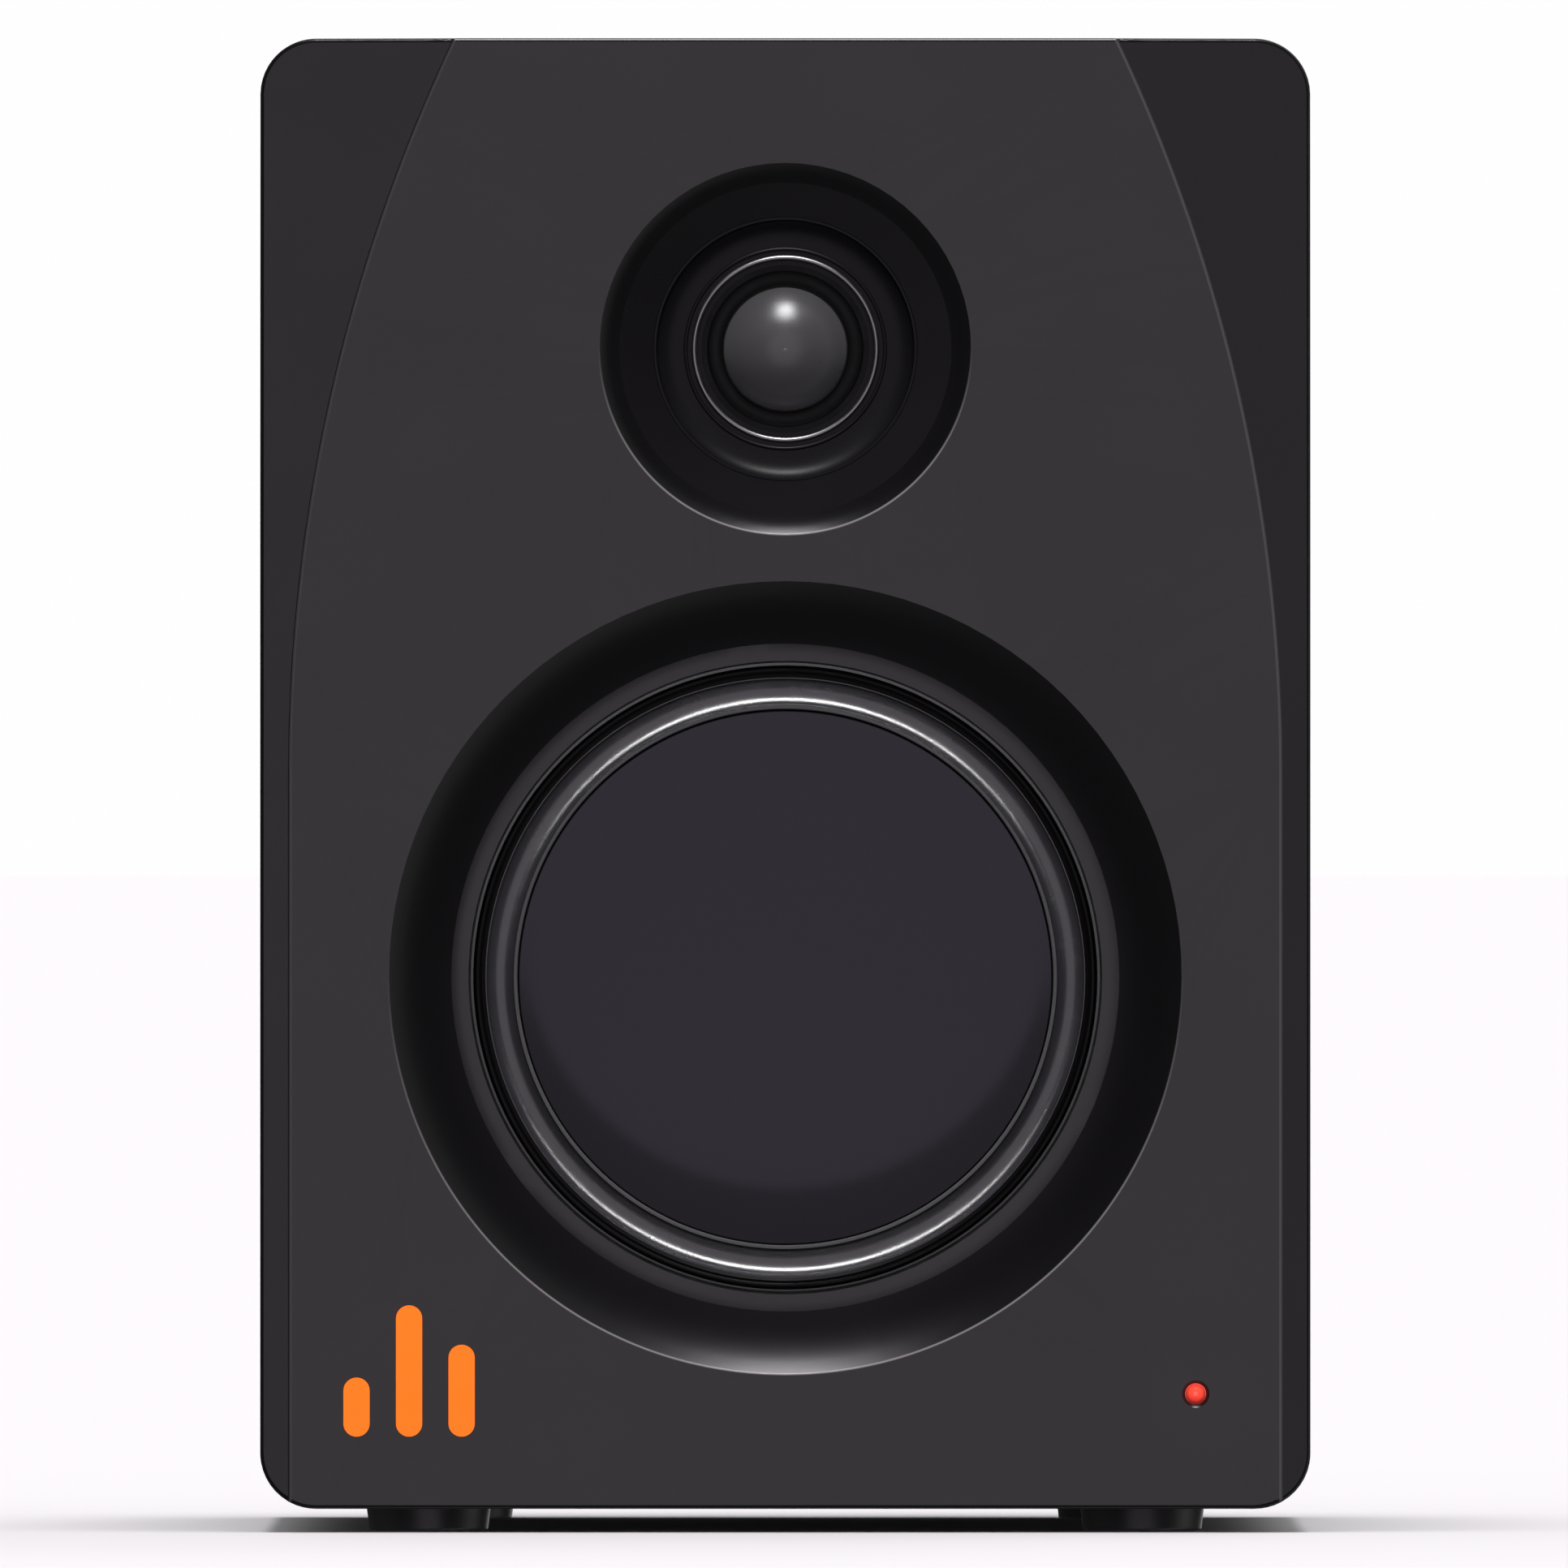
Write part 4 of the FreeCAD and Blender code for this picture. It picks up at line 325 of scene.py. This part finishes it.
def plate_finish():
    """The amplifier plate's coat, printed with ticks round the volume knob and a ring round each
    input. The knob and the inputs are in one row."""
    tick_step, last_tick = math.radians(30), math.radians(165)
    tick_reach, tick_half_length, tick_half_width = 13.6 * MM, 1.1 * MM, 0.22 * MM
    rings = {"rca_shell": 8.0 * MM, "jack_socket": 12.0 * MM}
    ring_half_width, soft = 0.16 * MM, 0.08 * MM

    made = powder_coat("plate_coat", (0.016, 0.016, 0.017), 0.5)
    reach = made.distance(KNOB.x, KNOB.z)
    turn = made.math("ARCTAN2", made.math("SUBTRACT", made.axis("X"), KNOB.x),
                     made.math("SUBTRACT", made.axis("Z"), KNOB.z))
    nearest = made.math("MULTIPLY", made.math("ROUND", made.math("DIVIDE", turn, tick_step)), tick_step)
    off = made.math("MULTIPLY", made.math("SUBTRACT", turn, nearest), reach)
    ticks = made.math("MULTIPLY", made.line(off, 0.0, tick_half_width, soft),
                      made.line(reach, tick_reach, tick_half_length, 0.1 * MM))
    swept = made.math("LESS_THAN", made.math("ABSOLUTE", turn), last_tick)
    marks = made.math("MULTIPLY", ticks, swept)
    for socket, radius in rings.items():
        from_socket = made.distance(centre(socket).x, KNOB.z)
        marks = made.math("MAXIMUM", marks, made.line(from_socket, radius, ring_half_width, soft))
    made.tint(marks, (0.55, 0.55, 0.54))
    return made


def board_finish(name, colour, paint):
    """Fibreboard with tiny fibres and specks, under a rolled coat of paint, or raw with a blacked
    rear edge."""
    made = Finish(name, colour, 0.62 if paint else 0.85)
    specks = made.ramp(made.noise(1.3 * MM, 5.0, (1, 0.25, 1)), 0.45, 0.7)
    made.tint(specks, [c * 0.75 for c in colour])
    if not paint:
        blacked = made.math("GREATER_THAN", made.axis("Y"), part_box("back_panel")[1].y - 0.2 * MM)
        made.tint(blacked, (0.013, 0.013, 0.014))
    made.polish(made.noise(5 * MM, 3.0), 0.07)
    made.relief(made.noise(0.7 * MM, 5.0, (1, 0.3, 1)), 0.03 * MM if paint else 0.08 * MM)
    return made


def cap_finish():
    """The woofer's flat cap: matt purple-grey under a thin clear coat."""
    made = Finish("cap_polymer", (0.0118, 0.0104, 0.0140), 0.6, Specular_IOR_Level=0.0,
                  Coat_Weight=0.18, Coat_Roughness=0.02)
    made.mottle(14 * MM, 0.05)
    made.polish(made.noise(9 * MM, 4.0), 0.04)
    made.relief(made.noise(0.18 * MM, 2.0), 0.004 * MM)
    return made


def badge_finish():
    """Orange enamel inlay, which glows a little to stay as bright as in the photo."""
    orange = (1.0, 0.175, 0.006)
    made = Finish("badge_enamel", orange, 0.5, Emission_Color=(*orange, 1.0), Emission_Strength=0.36,
                  Specular_IOR_Level=0.2)
    made.mottle(3 * MM, 0.05)
    made.polish(made.noise(2 * MM, 3.0), 0.05)
    made.relief(made.noise(0.8 * MM, 2.0), 0.004 * MM)
    return made


def lamp_finish():
    """A lit red lens: palest at its upper front, deep red at its rim and underside."""
    made = Finish("lamp_lens", (0.7, 0.02, 0.012), 0.18, Coat_Weight=0.6, Coat_Roughness=0.1)
    weight = made.node("ShaderNodeLayerWeight")
    weight.inputs["Blend"].default_value = 0.35
    glow = made.mixed(weight.outputs["Facing"], (1.0, 0.10, 0.06, 1.0), (0.35, 0.006, 0.004, 1.0))
    made.link(glow, made.shader.inputs["Emission Color"])
    speckle = made.ramp(made.noise(0.5 * MM, 2.0), 0.2, 0.8, 0.8, 1.0)
    low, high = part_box("power_lamp")
    # Painted highlight and shade: the glow is painted far stronger at the lens's top than at its
    # underside.
    upper = made.ramp(made.axis("Z"), low.z, high.z, 0.15, 1.3)
    made.link(made.math("MULTIPLY", speckle, upper), made.shader.inputs["Emission Strength"])
    made.relief(made.noise(0.4 * MM), 0.004 * MM)
    return made


def dome_finish():
    """Doped silk: a very fine weave under a soft, slightly glossy film."""
    made = Finish("dome_silk", (0.027, 0.026, 0.028), 0.30, Sheen_Weight=0.1, Sheen_Roughness=0.4,
                  Specular_IOR_Level=0.32)
    weave = made.math("MULTIPLY", made.waves(SILK_THREAD, "X"), made.waves(SILK_THREAD, "Z"))
    made.tint(made.ramp(weave, 0.0, 1.0, 0.0, 0.5), (0.018, 0.017, 0.019))
    made.polish(made.noise(3 * MM, 4.0), 0.03)
    made.relief(weave, 0.003 * MM)
    return made


def wound(name, colour, pitch, direction, roughness=0.4):
    """Wire or tape wound side by side."""
    made = Finish(name, colour, roughness)
    turns = made.waves(pitch, direction, distortion=0.3)
    made.tint(turns, [c * 0.55 for c in colour])
    made.polish(made.noise(4 * MM, 3.0), 0.06)
    made.relief(turns, pitch * 0.2)
    return made


def circuit_finish():
    """Solder mask over copper tracks."""
    made = Finish("solder_mask", (0.012, 0.085, 0.035), 0.35)
    tracks = made.math("GREATER_THAN", made.waves(2.4 * MM, "X", distortion=6.0), 0.72)
    made.tint(tracks, (0.03, 0.16, 0.06))
    pads = made.math("LESS_THAN", made.cells(4.5 * MM), 0.16)
    made.tint(pads, (0.6, 0.6, 0.58))
    made.relief(tracks, 0.05 * MM)
    made.polish(made.noise(3 * MM), 0.05)
    return made


def foam_finish():
    """Open-cell foam, with painted shade in its pores."""
    made = Finish("open_cell_foam", (0.045, 0.045, 0.048), 0.95, Sheen_Weight=0.3)
    pores = made.cells(0.9 * MM)
    # Painted shade: the colour is darker in the pits of the pores.
    made.tint(made.ramp(pores, 0.0, 0.5, 1.0, 0.0), (0.012, 0.012, 0.013))
    made.relief(pores, 0.5 * MM)
    made.polish(made.noise(6 * MM), 0.03)
    return made


def glass_finish():
    """A clear fuse tube between plated caps, along X."""
    made = Finish("fuse_tube", (0.9, 0.93, 0.93), 0.05, IOR=1.5)
    low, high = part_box("fuse")
    cap_length = 5 * MM
    along = made.math("ABSOLUTE", made.math("SUBTRACT", made.axis("X"), (low.x + high.x) / 2))
    ends = made.math("GREATER_THAN", along, (high.x - low.x) / 2 - cap_length)
    made.link(ends, made.shader.inputs["Metallic"])
    made.link(made.math("SUBTRACT", 1.0, ends), made.shader.inputs["Transmission Weight"])
    made.tint(ends, (0.72, 0.72, 0.7))
    made.relief(made.noise(0.7 * MM), 0.004 * MM)
    return made


def dress_cad():
    """The CAD nodes' finishes, the front's first. Replaced nodes get theirs with their pieces."""
    dress(fascia_finish(), "front_fascia")
    dress(vinyl_finish(), "vinyl_wrap")
    dress(badge_finish(), "front_badge")
    dress(lamp_finish(), "power_lamp")
    dress(dome_finish(), "tweeter_dome")
    dress(rubber("foot_rubber", (0.046, 0.043, 0.047), 0.4), "rubber_feet")
    dress(rubber("ring_rubber", (0.004, 0.0038, 0.0043), 0.5, Specular_IOR_Level=0.2),
          "woofer_trim_ring")
    dress(moulded("faceplate_plastic", (0.0028, 0.0025, 0.0032), 0.40, Specular_IOR_Level=0.09),
          "tweeter_faceplate")
    dress(metal("plated_ring", (0.20, 0.20, 0.205), 0.33), "tweeter_trim_ring")
    dress(board_finish("painted_board", (0.013, 0.013, 0.014), True), "back_panel", "front_board")
    dress(board_finish("raw_board", (0.30, 0.19, 0.10), False),
          "cabinet_side_panels", "cabinet_end_panels")
    dress(moulded("port_plastic", (0.012, 0.012, 0.013), 0.45, 0.5 * MM, 0.02 * MM), "port_tube")
    dress(plate_finish(), "amplifier_plate")
    dress(rubber("gasket_foam", (0.015, 0.015, 0.016), 0.9), "plate_gasket")
    dress(metal("black_anodising", (0.045, 0.045, 0.048), 0.4, (1, 1, 0.06)), "heat_sink")
    dress(metal("black_zinc", (0.07, 0.07, 0.075), 0.34),
          "plate_screws", "woofer_screws", "tweeter_screws")
    dress(metal("bright_nut", (0.62, 0.61, 0.58), 0.25), "control_nuts")
    dress(metal("nickel_shell", (0.70, 0.68, 0.63), 0.2), "rca_shell")
    dress(moulded("white_insulator", (0.72, 0.71, 0.68), 0.4), "rca_insulator")
    dress(moulded("knob_plastic", (0.014, 0.014, 0.015), 0.38),
          "volume_knob", "trim_lever", "switch_rocker")
    dress(moulded("black_moulding", (0.015, 0.015, 0.016), 0.45, 0.4 * MM, 0.012 * MM),
          "jack_socket", "mains_inlet", "switch_housing", "fuse_drawer", "trim_switch",
          "woofer_terminals", "tweeter_rear_chamber", "lamp_holder")
    dress(metal("brass_pin", (0.70, 0.60, 0.38), 0.24, (1, 0.1, 1)), "inlet_pins")
    dress(glass_finish(), "fuse")
    dress(moulded("cone_polymer", (0.02, 0.02, 0.022), 0.5), "woofer_cone")
    dress(powder_coat("basket_coat", (0.014, 0.014, 0.015), 0.45), "woofer_basket")
    dress(metal("zinc_plate", (0.55, 0.55, 0.57), 0.32),
          "woofer_top_plate", "woofer_yoke", "tweeter_pole_disc", "tweeter_yoke",
          "volume_potentiometer", "volume_shaft", "board_standoffs", "transformer_clamp")
    dress(board_finish("ferrite", (0.05, 0.05, 0.053), False), "woofer_magnet", "tweeter_magnet")
    dress(wound("copper_winding", (0.72, 0.30, 0.12), 0.25 * MM, "Y"), "woofer_voice_coil")
    dress(wound("lacquered_winding", (0.012, 0.011, 0.012), 0.15 * MM, "Y"), "tweeter_voice_coil")
    dress(wound("winding_tape", (0.62, 0.42, 0.07), 5 * MM, "Z", 0.35), "transformer")
    dress(circuit_finish(), "circuit_boards")
    dress(moulded("component_plastic", (0.02, 0.02, 0.022), 0.5), "board_parts")
    dress(rubber("lead_insulation", (0.35, 0.03, 0.025), 0.45), "internal_leads")


# ---------------------------------------------------------------- meshes
WELD = 1e-7                     # points closer than this become one
SHARP = math.radians(50)


def shown(name, mesh, finish, body):
    """A new piece that rides on a body, or has no parent if body is None."""
    mesh.materials.append(finish.material)
    piece = bpy.data.objects.new(name, mesh)
    bpy.context.scene.collection.objects.link(piece)
    if body:
        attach(piece, body)
    return piece


def turned_mesh(name, profile, middle, steps):
    """A closed profile of (radius, y) points, turned about the Y axis through middle."""
    mesh = bpy.data.meshes.new(name)
    points = []
    for i in range(steps):
        turn = 2 * math.pi * i / steps
        aside, up = math.cos(turn), math.sin(turn)
        points += [(middle.x + r * aside, y, middle.z + r * up) for r, y in profile]
    count = len(profile)
    faces = []
    for i in range(steps):
        here, there = i * count, (i + 1) % steps * count
        for j in range(count):
            k = (j + 1) % count
            faces.append((here + j, here + k, there + k, there + j))
    mesh.from_pydata(points, [], faces)
    work = bmesh.new()
    work.from_mesh(mesh)
    bmesh.ops.remove_doubles(work, verts=work.verts, dist=WELD)
    bmesh.ops.recalc_face_normals(work, faces=work.faces)
    work.to_mesh(mesh)
    work.free()
    mesh.polygons.foreach_set("use_smooth", [True] * len(mesh.polygons))
    mesh.set_sharp_from_angle(angle=SHARP)
    return mesh


def arc(middle, half_width, half_depth, start, end, count):
    """Points along part of an ellipse in the plane of radius and y, angles in degrees."""
    radius, y = middle
    found = []
    for i in range(count + 1):
        angle = math.radians(start + (end - start) * i / count)
        found.append((radius + half_width * math.cos(angle), y + half_depth * math.sin(angle)))
    return found


def woofer_cap():
    """The flat cap, dished very slightly so that it mirrors the room like a shallow concave mirror.
    Its last two rings are close to the edge, which keeps the shading even up to there."""
    low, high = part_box("woofer_dust_cap")
    radius = (high.x - low.x) / 2
    sheet, dish, edge = 0.5 * MM, 0.8 * MM, 0.12 * MM
    rings, steps = 24, 144
    front = []
    for i in range(rings + 2):
        r = min((radius - 1.5 * edge) * i / rings, radius - edge)
        front.append((r, low.y + dish * (1 - (r / radius) ** 2)))
    rim = [(radius, low.y + edge), (radius, low.y + sheet), (0.0, low.y + dish + sheet)]
    mesh = turned_mesh("woofer_cap_disc", front + rim, WOOFER, steps)
    piece = shown(mesh.name, mesh, cap_finish(), "woofer_diaphragm")
    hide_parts("woofer_dust_cap")
    return piece


def ring_segments(name, profile, middle, steps, count):
    """A turned ring in equal closed segments, shaded as if it were whole, so that each can follow
    its own radius. It gives each segment's mesh and the direction outwards at its middle."""
    whole = turned_mesh(name, profile, middle, steps)
    size = len(profile)
    each = steps // count
    first = list(whole.polygons[0].vertices)
    flipped = first[(first.index(0) + 1) % 4] != 1      # so that the ends face outwards too
    found = []
    for s in range(count):
        columns = [(s * each + i) % steps for i in range(each + 1)]
        new = {}
        for column in columns:
            for j in range(size):
                new[column * size + j] = len(new)
        faces, normals = [], []
        for face in whole.polygons[s * each * size:(s + 1) * each * size]:
            faces.append([new[v] for v in face.vertices])
            normals += [whole.corner_normals[i].vector.copy() for i in face.loop_indices]
        near = list(range(size))
        far = [each * size + j for j in near]
        faces += [near, far[::-1]] if flipped else [near[::-1], far]
        normals += [(0, 0, 0)] * (2 * size)
        mesh = bpy.data.meshes.new(f"{name}_{s:02d}")
        mesh.from_pydata([whole.vertices[v].co for v in new], [], faces)
        mesh.polygons.foreach_set("use_smooth", [True] * (each * size) + [False] * 2)
        mesh.normals_split_custom_set(normals)
        turn = 2 * math.pi * (s + 0.5) / count
        found.append((mesh, Vector((math.cos(turn), 0, math.sin(turn)))))
    bpy.data.meshes.remove(whole)
    return found


def flexible_ring(node, profile, middle, steps, count, finish):
    """Closed segments in place of a CAD ring, which is hidden. Each is a piece of its own, without a
    body."""
    pieces = []
    for mesh, outwards in ring_segments(node + "_part", profile, middle, steps, count):
        piece = shown(mesh.name, mesh, finish, None)
        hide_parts(node)
        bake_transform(piece)
        pieces.append(piece)
    return pieces


def woofer_surround():
    """The rubber ring: an edge land, a shallow roll that curves inwards, and the skirt round the
    cap. Only the roll is glossy."""
    low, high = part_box("woofer_surround")
    outer = (high.x - low.x) / 2
    drawn_outer, drawn_bore = 48.0, 40.9
    skirt_bore, skirt_depth = outer * drawn_bore / drawn_outer, 1.4 * MM
    land_y, back_y = low.y, low.y + 0.6 * MM
    sheet, corner, edge = 0.5 * MM, 0.25 * MM, 0.15 * MM
    roll_middle, roll_half, roll_depth = 43.5 * MM, 2.1 * MM, 1.55 * MM
    roll_in, roll_out = roll_middle - roll_half, roll_middle + roll_half
    profile = [(skirt_bore, high.y), (skirt_bore, land_y + skirt_depth)]
    profile += arc((skirt_bore + corner, land_y + corner), corner, corner, 180, 270, 5)
    profile += arc((roll_middle, land_y), roll_half, roll_depth, 180, 0, 24)
    profile += [(outer - edge, land_y), (outer, land_y + edge), (outer, back_y)]
    profile += [(roll_out + 0.1 * MM, back_y)]
    profile += arc((roll_middle, land_y + sheet), roll_half, roll_depth, 0, 180, 16)
    profile += [(roll_in, high.y)]
    finish = rubber("surround_rubber", (0.007, 0.0065, 0.008), 0.25, 0.001 * MM)
    reach = finish.distance(WOOFER.x, WOOFER.z)
    lip = finish.line(reach, skirt_bore, roll_in - skirt_bore, 0.05 * MM)
    land = finish.math("GREATER_THAN", reach, roll_out + 0.2 * MM)
    finish.dull(finish.math("MAXIMUM", lip, land), 1.0)
    return flexible_ring("woofer_surround", profile, WOOFER, 192, 24, finish)


def tweeter_surround():
    """The dome's half roll, pressed from the same coated silk."""
    low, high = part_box("tweeter_surround")
    outer = (high.x - low.x) / 2
    land_y = high.y - 0.6 * MM
    roll_in, roll_out = 9.55 * MM, 11.9 * MM
    middle, half = (roll_in + roll_out) / 2, (roll_out - roll_in) / 2
    height, sheet = land_y - low.y, 0.25 * MM
    profile = arc((middle, land_y), half, -height, 180, 0, 14)
    profile += [(outer, land_y), (outer, high.y), (roll_out, high.y)]
    profile += arc((middle, land_y), half - sheet, -(height - sheet), 0, 180, 14)
    finish = woven("surround_silk", (0.0045, 0.0043, 0.005), 0.5, SILK_THREAD, Specular_IOR_Level=0.2)
    flexible_ring("tweeter_surround", profile, TWEETER, 96, 12, finish)


def woofer_spider():
    """The centring disc: treated cloth pressed into even corrugations."""
    low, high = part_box("woofer_spider")
    outer = (high.x - low.x) / 2
    bore, wave_in, wave_out = 12.85 * MM, 15.0 * MM, 26.2 * MM
    sheet, half_waves, samples = 0.4 * MM, 7, 56
    front_y = (low.y + high.y - sheet) / 2
    sag = (high.y - low.y - sheet) / 2
    wave = []
    for i in range(samples + 1):
        rise = sag * math.sin(math.pi * half_waves * i / samples)
        wave.append((wave_in + (wave_out - wave_in) * i / samples, front_y + rise))
    profile = [(bore, front_y), *wave, (outer, front_y), (outer, front_y + sheet)]
    profile += [(r, y + sheet) for r, y in reversed(wave)] + [(bore, front_y + sheet)]
    finish = woven("spider_cloth", (0.42, 0.27, 0.07), 0.8, 0.7 * MM)
    flexible_ring("woofer_spider", profile, WOOFER, 96, 12, finish)


def foam_pad(name, low, high, finish):
    """A sheet of cut foam: full at its middle, with soft edges and a slightly uneven face."""
    work = bmesh.new()
    bmesh.ops.create_cube(work, size=2.0)
    bmesh.ops.subdivide_edges(work, edges=work.edges, cuts=15, use_grid_fill=True)
    rim_start, rim_fall = 0.75, 0.28        # where the thickness starts to fall, and by how much
    body, lump_height, lumps_across, edge_pull = 0.95, 0.05, 3.0, 0.008
    middle, half = (low + high) / 2, (high - low) / 2
    thin = min(range(3), key=lambda i: half[i])
    for vertex in work.verts:
        along = [vertex.co[i] for i in range(3)]
        rim = max(abs(along[i]) for i in range(3) if i != thin)
        fullness = 1 - rim_fall * max(0.0, (rim - rim_start) / (1 - rim_start)) ** 2
        lumps = 1 + lump_height * noise.noise(Vector(along) * lumps_across)
        spot = []
        for i in range(3):
            pulled = fullness * lumps * body if i == thin else 1 - edge_pull * along[thin] ** 2
            spot.append(middle[i] + half[i] * along[i] * min(1.0, pulled))
        vertex.co = spot
    mesh = bpy.data.meshes.new(name)
    work.to_mesh(mesh)
    work.free()
    mesh.polygons.foreach_set("use_smooth", [True] * len(mesh.polygons))
    piece = shown(name, mesh, finish, "cabinet")
    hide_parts("damping_pads")


def damping_pads():
    """The foam inside the cabinet: a pad on each side and one under the top."""
    low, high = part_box("damping_pads")
    thickness, side_top, top_half = 9 * MM, 204 * MM, 60 * MM
    finish = foam_finish()
    for side, low_x, high_x, low_z, high_z in (
            ("left", low.x, low.x + thickness, low.z, side_top),
            ("right", high.x - thickness, high.x, low.z, side_top),
            ("top", -top_half, top_half, high.z - thickness, high.z)):
        foam_pad(f"damping_pad_{side}", Vector((low_x, low.y, low_z)), Vector((high_x, high.y, high_z)),
                 finish)


# ---------------------------------------------------------------- stage
CAMERA_DISTANCE = 8.5
CAMERA_ASIDE, CAMERA_HEIGHT = -0.0002, 0.114
VIEW_WIDTH = 0.2388             # what the picture spans at the fascia
SENSOR = 36.0
SKY_LEVEL = 0.8
ROOM_LEVEL = 0.05
LEFT_LEVEL, RIGHT_LEVEL = 0.08, 0.95
SIDE_WIDTH = 0.45               # the lighter band at the room's sides, as the direction's Y part
GREY = (0.8, 0.8, 0.8, 1.0)
WHITE = (1.0, 0.993, 1.0, 1.0)
FLOOR_REACH = 60.0


def camera():
    """Far off and level, as nearly without perspective as the photo."""
    data = bpy.data.cameras.new("camera")
    data.sensor_width = SENSOR
    data.lens = SENSOR * CAMERA_DISTANCE / VIEW_WIDTH
    data.clip_start = 0.1
    data.clip_end = 100.0
    made = bpy.data.objects.new("camera", data)
    made.location = (CAMERA_ASIDE, FRONT_Y - CAMERA_DISTANCE, CAMERA_HEIGHT)
    made.rotation_euler = (math.radians(90), 0, 0)
    bpy.context.scene.collection.objects.link(made)
    bpy.context.scene.camera = made


def lights_only(lamp, pieces, mirrored=False):
    """Makes a lamp a shadowless accent on those pieces. Rays off their gloss look for it only if it
    is mirrored sharply, because what stands in between stops them."""
    lamp.data.use_shadow = False
    lamp.data.cycles.use_multiple_importance_sampling = mirrored
    accented = bpy.data.collections.new(lamp.name + "_receivers")
    for piece in pieces:
        accented.objects.link(piece)
    lamp.light_linking.receiver_collection = accented


def sun(name, towards, spread, irradiance, colour=(1, 1, 1), only=()):
    """Soft light from far off: towards points to it, and spread is its width in degrees. If pieces
    are named in only, it lights nothing but those."""
    data = bpy.data.lights.new(name, "SUN")
    data.angle = math.radians(spread)
    data.energy = irradiance
    data.color = colour
    made = bpy.data.objects.new(name, data)
    made.rotation_euler = Vector(towards).to_track_quat("Z", "Y").to_euler()
    bpy.context.scene.collection.objects.link(made)
    if only:
        lights_only(made, only)


def cap_glow(cap):
    """A small round softbox low in front, which the dished cap mirrors as a slightly raised disc."""
    distance, radius, drop, radiance = 1.0, 0.0332, 0.0104, 2.28
    data = bpy.data.lights.new("cap_glow", "AREA")
    data.shape = "DISK"
    data.size = 2 * radius
    data.energy = radiance * math.pi * math.pi * radius ** 2
    data.color = (0.757, 0.708, 1.0)
    made = bpy.data.objects.new("cap_glow", data)
    made.location = (WOOFER.x, WOOFER.y - distance, WOOFER.z - drop)
    made.rotation_euler = (math.radians(90), 0, 0)
    made.visible_camera = False
    bpy.context.scene.collection.objects.link(made)
    lights_only(made, [cap], mirrored=True)


def surroundings():
    """White behind the object. Gloss sees a dim room, lighter at its sides and most of all on the
    right, and matt surfaces get an even sky."""
    world = bpy.data.worlds.new("studio")
    bpy.context.scene.world = world
    world.use_nodes = True
    world.node_tree.nodes.clear()
    graph = Graph(world.node_tree)
    path = graph.node("ShaderNodeLightPath")
    split = graph.node("ShaderNodeSeparateXYZ")
    graph.link(graph.node("ShaderNodeTexCoord").outputs["Generated"], split.inputs[0])

    def background(colour, strength):
        made = graph.node("ShaderNodeBackground")
        graph.feed([made.inputs["Color"], made.inputs["Strength"]], (colour, strength))
        return made.outputs[0]

    def for_ray(kind, others, seen):
        """Rays of that kind see one background, and all others another."""
        made = graph.node("ShaderNodeMixShader")
        graph.link(path.outputs[kind], made.inputs[0])
        graph.link(others, made.inputs[1])
        graph.link(seen, made.inputs[2])
        return made.outputs[0]

    sideways = graph.ramp(graph.math("ABSOLUTE", split.outputs["Y"]), 0.0, SIDE_WIDTH, 1.0, 0.0)
    right = graph.ramp(split.outputs["X"], -0.9, 0.9, LEFT_LEVEL, RIGHT_LEVEL)
    level = graph.math("ADD", graph.math("MULTIPLY", sideways, right), ROOM_LEVEL)
    lit = for_ray("Is Diffuse Ray", background(GREY, level), background(GREY, SKY_LEVEL))
    seen = for_ray("Is Camera Ray", lit, background(WHITE, 1.0))
    graph.link(seen, graph.node("ShaderNodeOutputWorld").inputs["Surface"])


def floor():
    """A wide pale floor, which stays out of the glossy reflections."""
    mesh = bpy.data.meshes.new("floor")
    signs = ((-1, -1), (1, -1), (1, 1), (-1, 1))
    corners = [(FLOOR_REACH * x, FLOOR_REACH * y, 0) for x, y in signs]
    mesh.from_pydata(corners, [], [(0, 1, 2, 3)])
    made = Finish("floor_paper", (0.62, 0.615, 0.62), 0.9, Specular_IOR_Level=0.0)
    made.mottle(0.4, 0.01)
    mesh.materials.append(made.material)
    plane = bpy.data.objects.new("floor", mesh)
    bpy.context.scene.collection.objects.link(plane)
    plane.visible_glossy = False


def studio(cap, tweeter_pieces, roll_pieces):
    """Soft light on everything, and the accents: one sun on the tweeter, a fan of them along the
    upper half of the woofer's roll, and the cap's softbox."""
    bpy.context.scene.view_settings.view_transform = "Standard"
    surroundings()
    floor()
    sun("top_light", (0, -0.10, 1.0), 24, 2.6, (1.0, 0.95, 1.0))
    sun("front_light", (-0.03, -1.0, 0.0), 54, 0.70, (1.0, 0.9, 1.0))
    sun("back_light", (0.25, 1.0, 0.45), 60, 1.0)
    sun("key_light", (0, -0.46, 0.89), 20, 6.0, only=tweeter_pieces)
    rise, forward = 0.74, -0.67
    for turn in range(-50, 51, 10):
        aside, up = math.sin(math.radians(turn)), math.cos(math.radians(turn))
        towards = (rise * aside, forward, rise * up)
        sun(f"roll_light_{turn}", towards, 20, 1.9 * up ** 4, only=roll_pieces)
    sun("roll_fill", (0, -0.8, -0.6), 60, 0.3, only=roll_pieces)
    cap_glow(cap)


dress_cad()
cap = woofer_cap()
tweeter_surround()
woofer_spider()
damping_pads()
roll_pieces = woofer_surround()
tweeter_pieces = [nodes[name] for name in ("tweeter_dome", "tweeter_trim_ring", "tweeter_faceplate")]
camera()
studio(cap, tweeter_pieces, roll_pieces)
